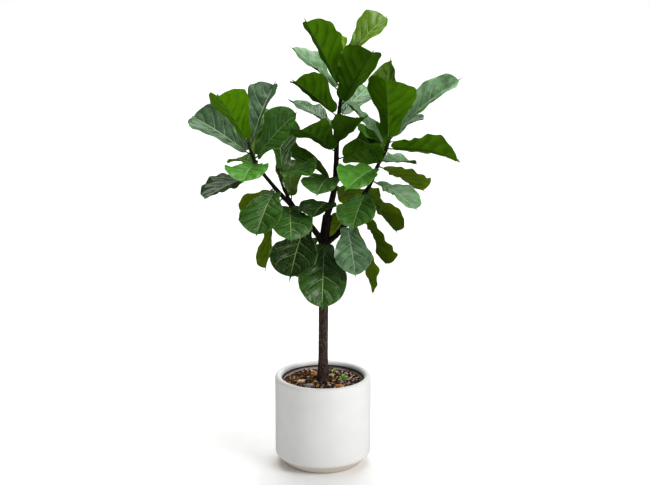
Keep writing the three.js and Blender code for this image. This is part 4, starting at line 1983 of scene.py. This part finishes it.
    def petiole_skin(self) -> Skin:
        """Petiole that runs on as the midrib under the blade, thinner all the way to the tip.

        The path bends from the foot through the elbow to the base, as a curve drawn by three
        points, and then keeps just under the blade.

        Returns:
            The closed tube.
        """
        blade = self.blade
        t = np.linspace(0, 1, 12)[:, None]
        corner = 2 * blade.elbow - (blade.foot + blade.base) / 2
        corner = blade.elbow + self.petiole_bend * (corner - blade.elbow)
        stalk = (1 - t) ** 2 * blade.foot + 2 * t * (1 - t) * corner + t**2 * blade.base
        u = np.linspace(*self.rib_span, 34)
        radii = self.petiole_radius * (1 - u) ** self.rib_power + self.rib_end
        rib = blade.midrib(u) - blade.face(u) * (radii + self.rib_sink)[:, None]
        stalk_radii = self.petiole_radius * (1.0 + self.petiole_flare * (1 - t[:, 0]) ** 3)
        path = np.concatenate([stalk[:-1], rib])
        return tube_skin(path, np.concatenate([stalk_radii[:-1], radii]), 10, blade.left, finish=2)

    def point_skin(self) -> Skin:
        """Point in which the blade ends: a narrow tongue that curls a little past the round end.

        A section is an ellipse, whose half width is a quarter wave on the blade and then falls
        evenly to the tip.

        Returns:
            The closed tongue, with the blade's own two faces.
        """
        blade = self.blade
        t = np.linspace(0, 1, 14)
        start, end = blade.midrib(np.array([self.point_from, 1.0]))
        ahead, above = unit(end - start), blade.face(np.array([1.0]))
        path = start + t[:, None] * ahead * (self.point_long + np.linalg.norm(end - start))
        path = path + self.point_curl * self.point_long * (t**2)[:, None] * above
        narrowing = np.minimum(np.sin(math.pi * np.clip(2.2 * t, 0.05, 0.5)), 1.12 - t)
        angle = circle(8)
        wide = self.point_half[0] * narrowing[:, None, None] * np.cos(angle)[:, None] * blade.left
        thick = self.point_half[1] * narrowing[:, None, None] * np.sin(angle)[:, None] * above
        rings = path[:, None] + wide + thick
        uv = np.broadcast_to(np.array(self.point_uv), (*rings.shape[:2], 2))
        under_face = (np.sin(angle + angle[1] / 2) < 0).astype(int)
        return ring_skin(rings, (path[0], path[-1]), uv=uv, finish=under_face, tint=self.light)

    def vein_skins(self) -> list[Skin]:
        """Side veins as thin tapered tubes half sunk in the under face.

        Returns:
            One closed tube for each vein.
        """
        made = []
        numbers = range(int(self.veins.count) + 2)
        for number, is_left in itertools.product(numbers, (False, True)):
            start = self.veins.leaves_at(number, is_left)
            if not self.vein_starts[0] <= start <= self.vein_starts[1]:
                continue
            out = np.linspace(*self.vein_reach, 15)
            u = start + self.veins.forward(out)
            out, u = out[u < self.veins_end], u[u < self.veins_end]
            v = out if is_left else -out
            radii = self.size * self.vein_radius * (1 - self.vein_taper[0] * out)
            radii = radii * (1 - self.vein_taper[1] * start)
            path = self.surface(u, v) - self.blade.face(u) * (self.thickness / 2)
            made.append(tube_skin(path, radii, 5, self.blade.face(u), finish=2))
        return made

    def build(self, materials: dict[Tone, list[bpy.types.Material]]) -> bpy.types.Object:
        """Makes the leaf.

        Args:
            materials: Upper, under and rib materials of each tone.

        Returns:
            The leaf.
        """
        stalks = [self.petiole_skin(), *self.vein_skins()]
        for stalk in stalks:
            stalk.tint = np.full(len(stalk.points), self.light)
        skins = [self.blade_skin(), self.point_skin(), *stalks]
        return make_piece(f"fig_{self.node}", skins, materials[self.tone], [self.node], sharp=80)


@dataclass
class Foliage:
    """All leaves of the tree.

    Attributes:
        usual_light: How light a leaf is that LEAF_LIGHT doesn't name.
        upper_gloss: Roughness and reflection of the upper faces.
        under_looks: Roughness, reflection, mottle and vein shade of the under faces.
        rib_looks: Grain, its depth, roughness, refractive index and reflection of the midribs.
    """

    usual_light: float = 0.22
    upper_gloss: tuple[float, float] = (0.29, 0.38)
    under_looks: tuple[float, float, float, float] = (0.75, 0.04, 0.16, 0.2)
    rib_looks: tuple[float, float, float, float, float] = (6.0, 0.1, 0.65, 1.42, 0.15)
    parts: tuple[str, str, str] = ("waxy_upper_cuticle", "dull_under_skin", "smooth_midrib")
    twig_reach: float = 75 * MM
    twig_top: float = 4 * MM

    def __post_init__(self) -> None:
        """Lists the leaves in the frame with their tones."""
        looks = {name: (tone, light) for tone, row in LEAF_LIGHT.items() for name, light in row.items()}
        usual = (Tone.GREEN, self.usual_light)
        names = sorted(node.removeprefix("leaf_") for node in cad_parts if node.startswith("leaf_"))
        self.leaves = [FigLeaf(name, *looks.get(name, usual), k) for k, name in enumerate(names)]

    @property
    def feet(self) -> Array:
        """Where the petioles leave the wood."""
        return np.array([leaf.blade.foot for leaf in self.leaves])

    def materials(self) -> dict[Tone, list[bpy.types.Material]]:
        """Upper, under and rib materials of each tone.

        Returns:
            The three materials, by tone.
        """
        made = {}
        for tone, colours in LEAF_COLOURS.items():
            names = [f"{part}_{tone.value}" for part in self.parts]
            looks = (*self.upper_gloss, colours.mottle, colours.vein_shade)
            upper = LeafFinish(names[0], Face.UPPER, *colours.upper, *looks)
            under = LeafFinish(names[1], Face.UNDER, *colours.under, *self.under_looks)
            rib = GrainyFinish(names[2], *colours.rib, *self.rib_looks)
            made[tone] = [upper.build(), under.build(), rib.build()]
        return made

    def twig_ends(self) -> dict[str, Array]:
        """End of each branch: the highest wood near its highest petiole.

        Returns:
            The end of each branch, by the branch's name.
        """
        wood, _ = merged_node("wood")
        ends = {}
        for stem in ("leader", "left", "inner", "right"):
            feet = np.array([leaf.blade.foot for leaf in self.leaves if leaf.name.startswith(stem)])
            top = feet[feet[:, 2].argmax()]
            near = wood[np.linalg.norm(wood - top, axis=1) < self.twig_reach]
            ends[stem] = near[near[:, 2] > near[:, 2].max() - self.twig_top].mean(axis=0)
        return ends

    def build(self) -> list[bpy.types.Object]:
        """Makes every leaf."""
        materials = self.materials()
        return [leaf.build(materials) for leaf in self.leaves]


# ---------------------------------------------------------------- studio


@dataclass
class Softbox:
    """Square soft light.

    Attributes:
        name: Its name.
        place: Where it hangs.
        aim: Point that it faces.
        size: Side of its panel.
        power: Its power in watts.
        is_mirrored: Whether glossy faces mirror it.
    """

    name: str
    place: tuple[float, float, float]
    aim: tuple[float, float, float]
    size: float
    power: float
    is_mirrored: bool = True

    def build(self) -> bpy.types.Object:
        """Hangs the light and turns it to its aim.

        Returns:
            The light.
        """
        lamp = bpy.data.lights.new(self.name, "AREA")
        lamp.size = self.size
        lamp.energy = self.power
        holder = placed(self.name, lamp)
        holder.location = self.place
        away = Vector(self.place) - Vector(self.aim)
        holder.rotation_euler = away.to_track_quat("Z", "Y").to_euler()
        holder.visible_camera = False
        holder.visible_glossy = self.is_mirrored
        return holder


@dataclass
class Studio:
    """Pale sweep, soft lights and the camera."""

    half_width: float = 9.0
    front: float = -9.0
    back: float = 5.0
    sweep: float = 2.5
    wall: float = 7.0
    world: float = 0.22
    lens_mm: float = 77.58
    sensor_mm: float = 36.0
    camera_place: tuple[float, float, float] = (0.0075, -5.0, 2.05)
    camera_pitch: float = 76.4855
    lights: tuple[Softbox, ...] = (
        Softbox("key_right", (3.2, -2.4, 2.9), (0.0, 0.0, 0.9), 2.4, 155.0),
        Softbox("overhead", (0.0, 0.4, 4.0), (0.0, 0.0, 0.0), 2.6, 105.0),
        Softbox("back_top", (0.0, 5.2, 4.4), (0.0, 5.0, 0.0), 5.0, 280.0, False),
        Softbox("fill_left", (-3.4, -3.0, 1.8), (0.0, 0.0, 0.9), 2.6, 20.0),
    )

    def build_floor(self) -> bpy.types.Object:
        """Makes the sweep: floor, a quarter circle and a wall, as one sheet.

        Returns:
            The sweep.
        """
        turn = np.radians(np.linspace(0, 90, 24))
        y = np.concatenate([[self.front], self.back + self.sweep * np.sin(turn), [self.back + self.sweep]])
        z = np.concatenate([[0.0], self.sweep * (1 - np.cos(turn)), [self.wall]])
        x = np.array([-self.half_width, self.half_width])
        points = np.stack([np.tile(x, len(y)), np.repeat(y, 2), np.repeat(z, 2)], axis=-1)
        first = 2 * np.arange(len(y) - 1)
        faces = np.stack([first, first + 1, first + 3, first + 2], axis=-1)
        mesh = bpy.data.meshes.new("studio_sweep")
        mesh.from_pydata(points.tolist(), [], faces.tolist())
        mesh.materials.append(StudioPaper().build())
        mesh.shade_smooth()
        sweep = placed("studio_sweep", mesh)
        sweep.visible_glossy = False  # the leaves mirror the lights, not the white paper
        return sweep

    def build(self) -> None:
        """Sets up the sweep, the lights, the world and the camera."""
        self.build_floor()
        for light in self.lights:
            light.build()
        world = bpy.data.worlds.new("studio")
        world.use_nodes = True
        glow = world.node_tree.nodes["Background"].inputs
        glow["Color"].default_value = linear("ffffff")
        glow["Strength"].default_value = self.world
        bpy.context.scene.world = world
        world.cycles_visibility.glossy = False  # nor do they mirror the room's even glow
        camera = bpy.data.cameras.new("camera")
        camera.lens = self.lens_mm
        camera.sensor_width = self.sensor_mm
        holder = placed("camera", camera)
        holder.location = self.camera_place
        holder.rotation_euler = (math.radians(self.camera_pitch), 0.0, 0.0)
        bpy.context.scene.camera = holder
        bpy.context.scene.view_settings.view_transform = "Standard"


# ---------------------------------------------------------------- the whole


def main() -> None:
    """Builds the studio, the pots, the soil, the wood and the leaves, and reports each piece."""
    logging.basicConfig(level=logging.INFO, format="%(message)s")
    Studio().build()
    pieces = [Planter().build(), NurseryPot().build(), *SoilBed().build()]
    sandstone = GrainyFinish("brown_sandstone", "6a4424", "a8754a", "c99a6c", 4.0, 0.5, 0.85)
    limestone = GrainyFinish("tan_limestone", "947456", "c4a486", "e2ccb4", 5.0, 0.5, 0.85)
    slate = GrainyFinish("grey_slate", "5c5c5a", "8a8a87", "b0b0aa", 5.0, 0.4, 0.75)
    clay = GrainyFinish("baked_clay", "8a5227", "b9763f", "d9a06a", 5.0, 0.4, 0.85)
    fresh = GrainyFinish("fresh_seedling_leaf", "3f7a1c", "78b43e", "c4e48c", 5.0, 0.2, 0.5, 1.42)
    sunned = GrainyFinish("yellowed_seedling_leaf", "5a7420", "98a83c", "d8dc88", 5.0, 0.2, 0.5, 1.42)
    pieces += [
        Pebble("pebble_brown", sandstone, "stone_brown", "stone_brown").build(),
        Pebble("pebble_tan", limestone, "stone_tan", "stone_tan").build(),
        Pebble("pebble_grey", slate, "stone_grey", "stone_grey").build(),
        Pebble(
            "pebble_chip", limestone, "stone_tan", None, (0.032, 0.048, 0.317), (0.010, 0.009, 0.008), 0.7
        ).build(),
        Pebble(
            "pebble_clay", clay, "stone_brown", None, (0.057, -0.062, 0.315), (0.020, 0.011, 0.006), 0.2
        ).build(),
        Seedling("sprout_front", "seedling_front", 15, 25 * MM, fresh).build(),
        Seedling("sprout_back", "seedling_back", 9, 17 * MM, sunned).build(),
    ]
    foliage = Foliage()
    ends = foliage.twig_ends()
    pieces.append(Wood().build(foliage.feet, np.array(list(ends.values()))))
    pieces += [Bud().build(f"bud_{stem}", end, np.array([0.0, 0.0, 1.0])) for stem, end in ends.items()]
    pieces += foliage.build()
    for piece in pieces:
        log.info("%s: %d faces", piece.name, len(piece.data.polygons))


if __name__ == "__main__":
    main()
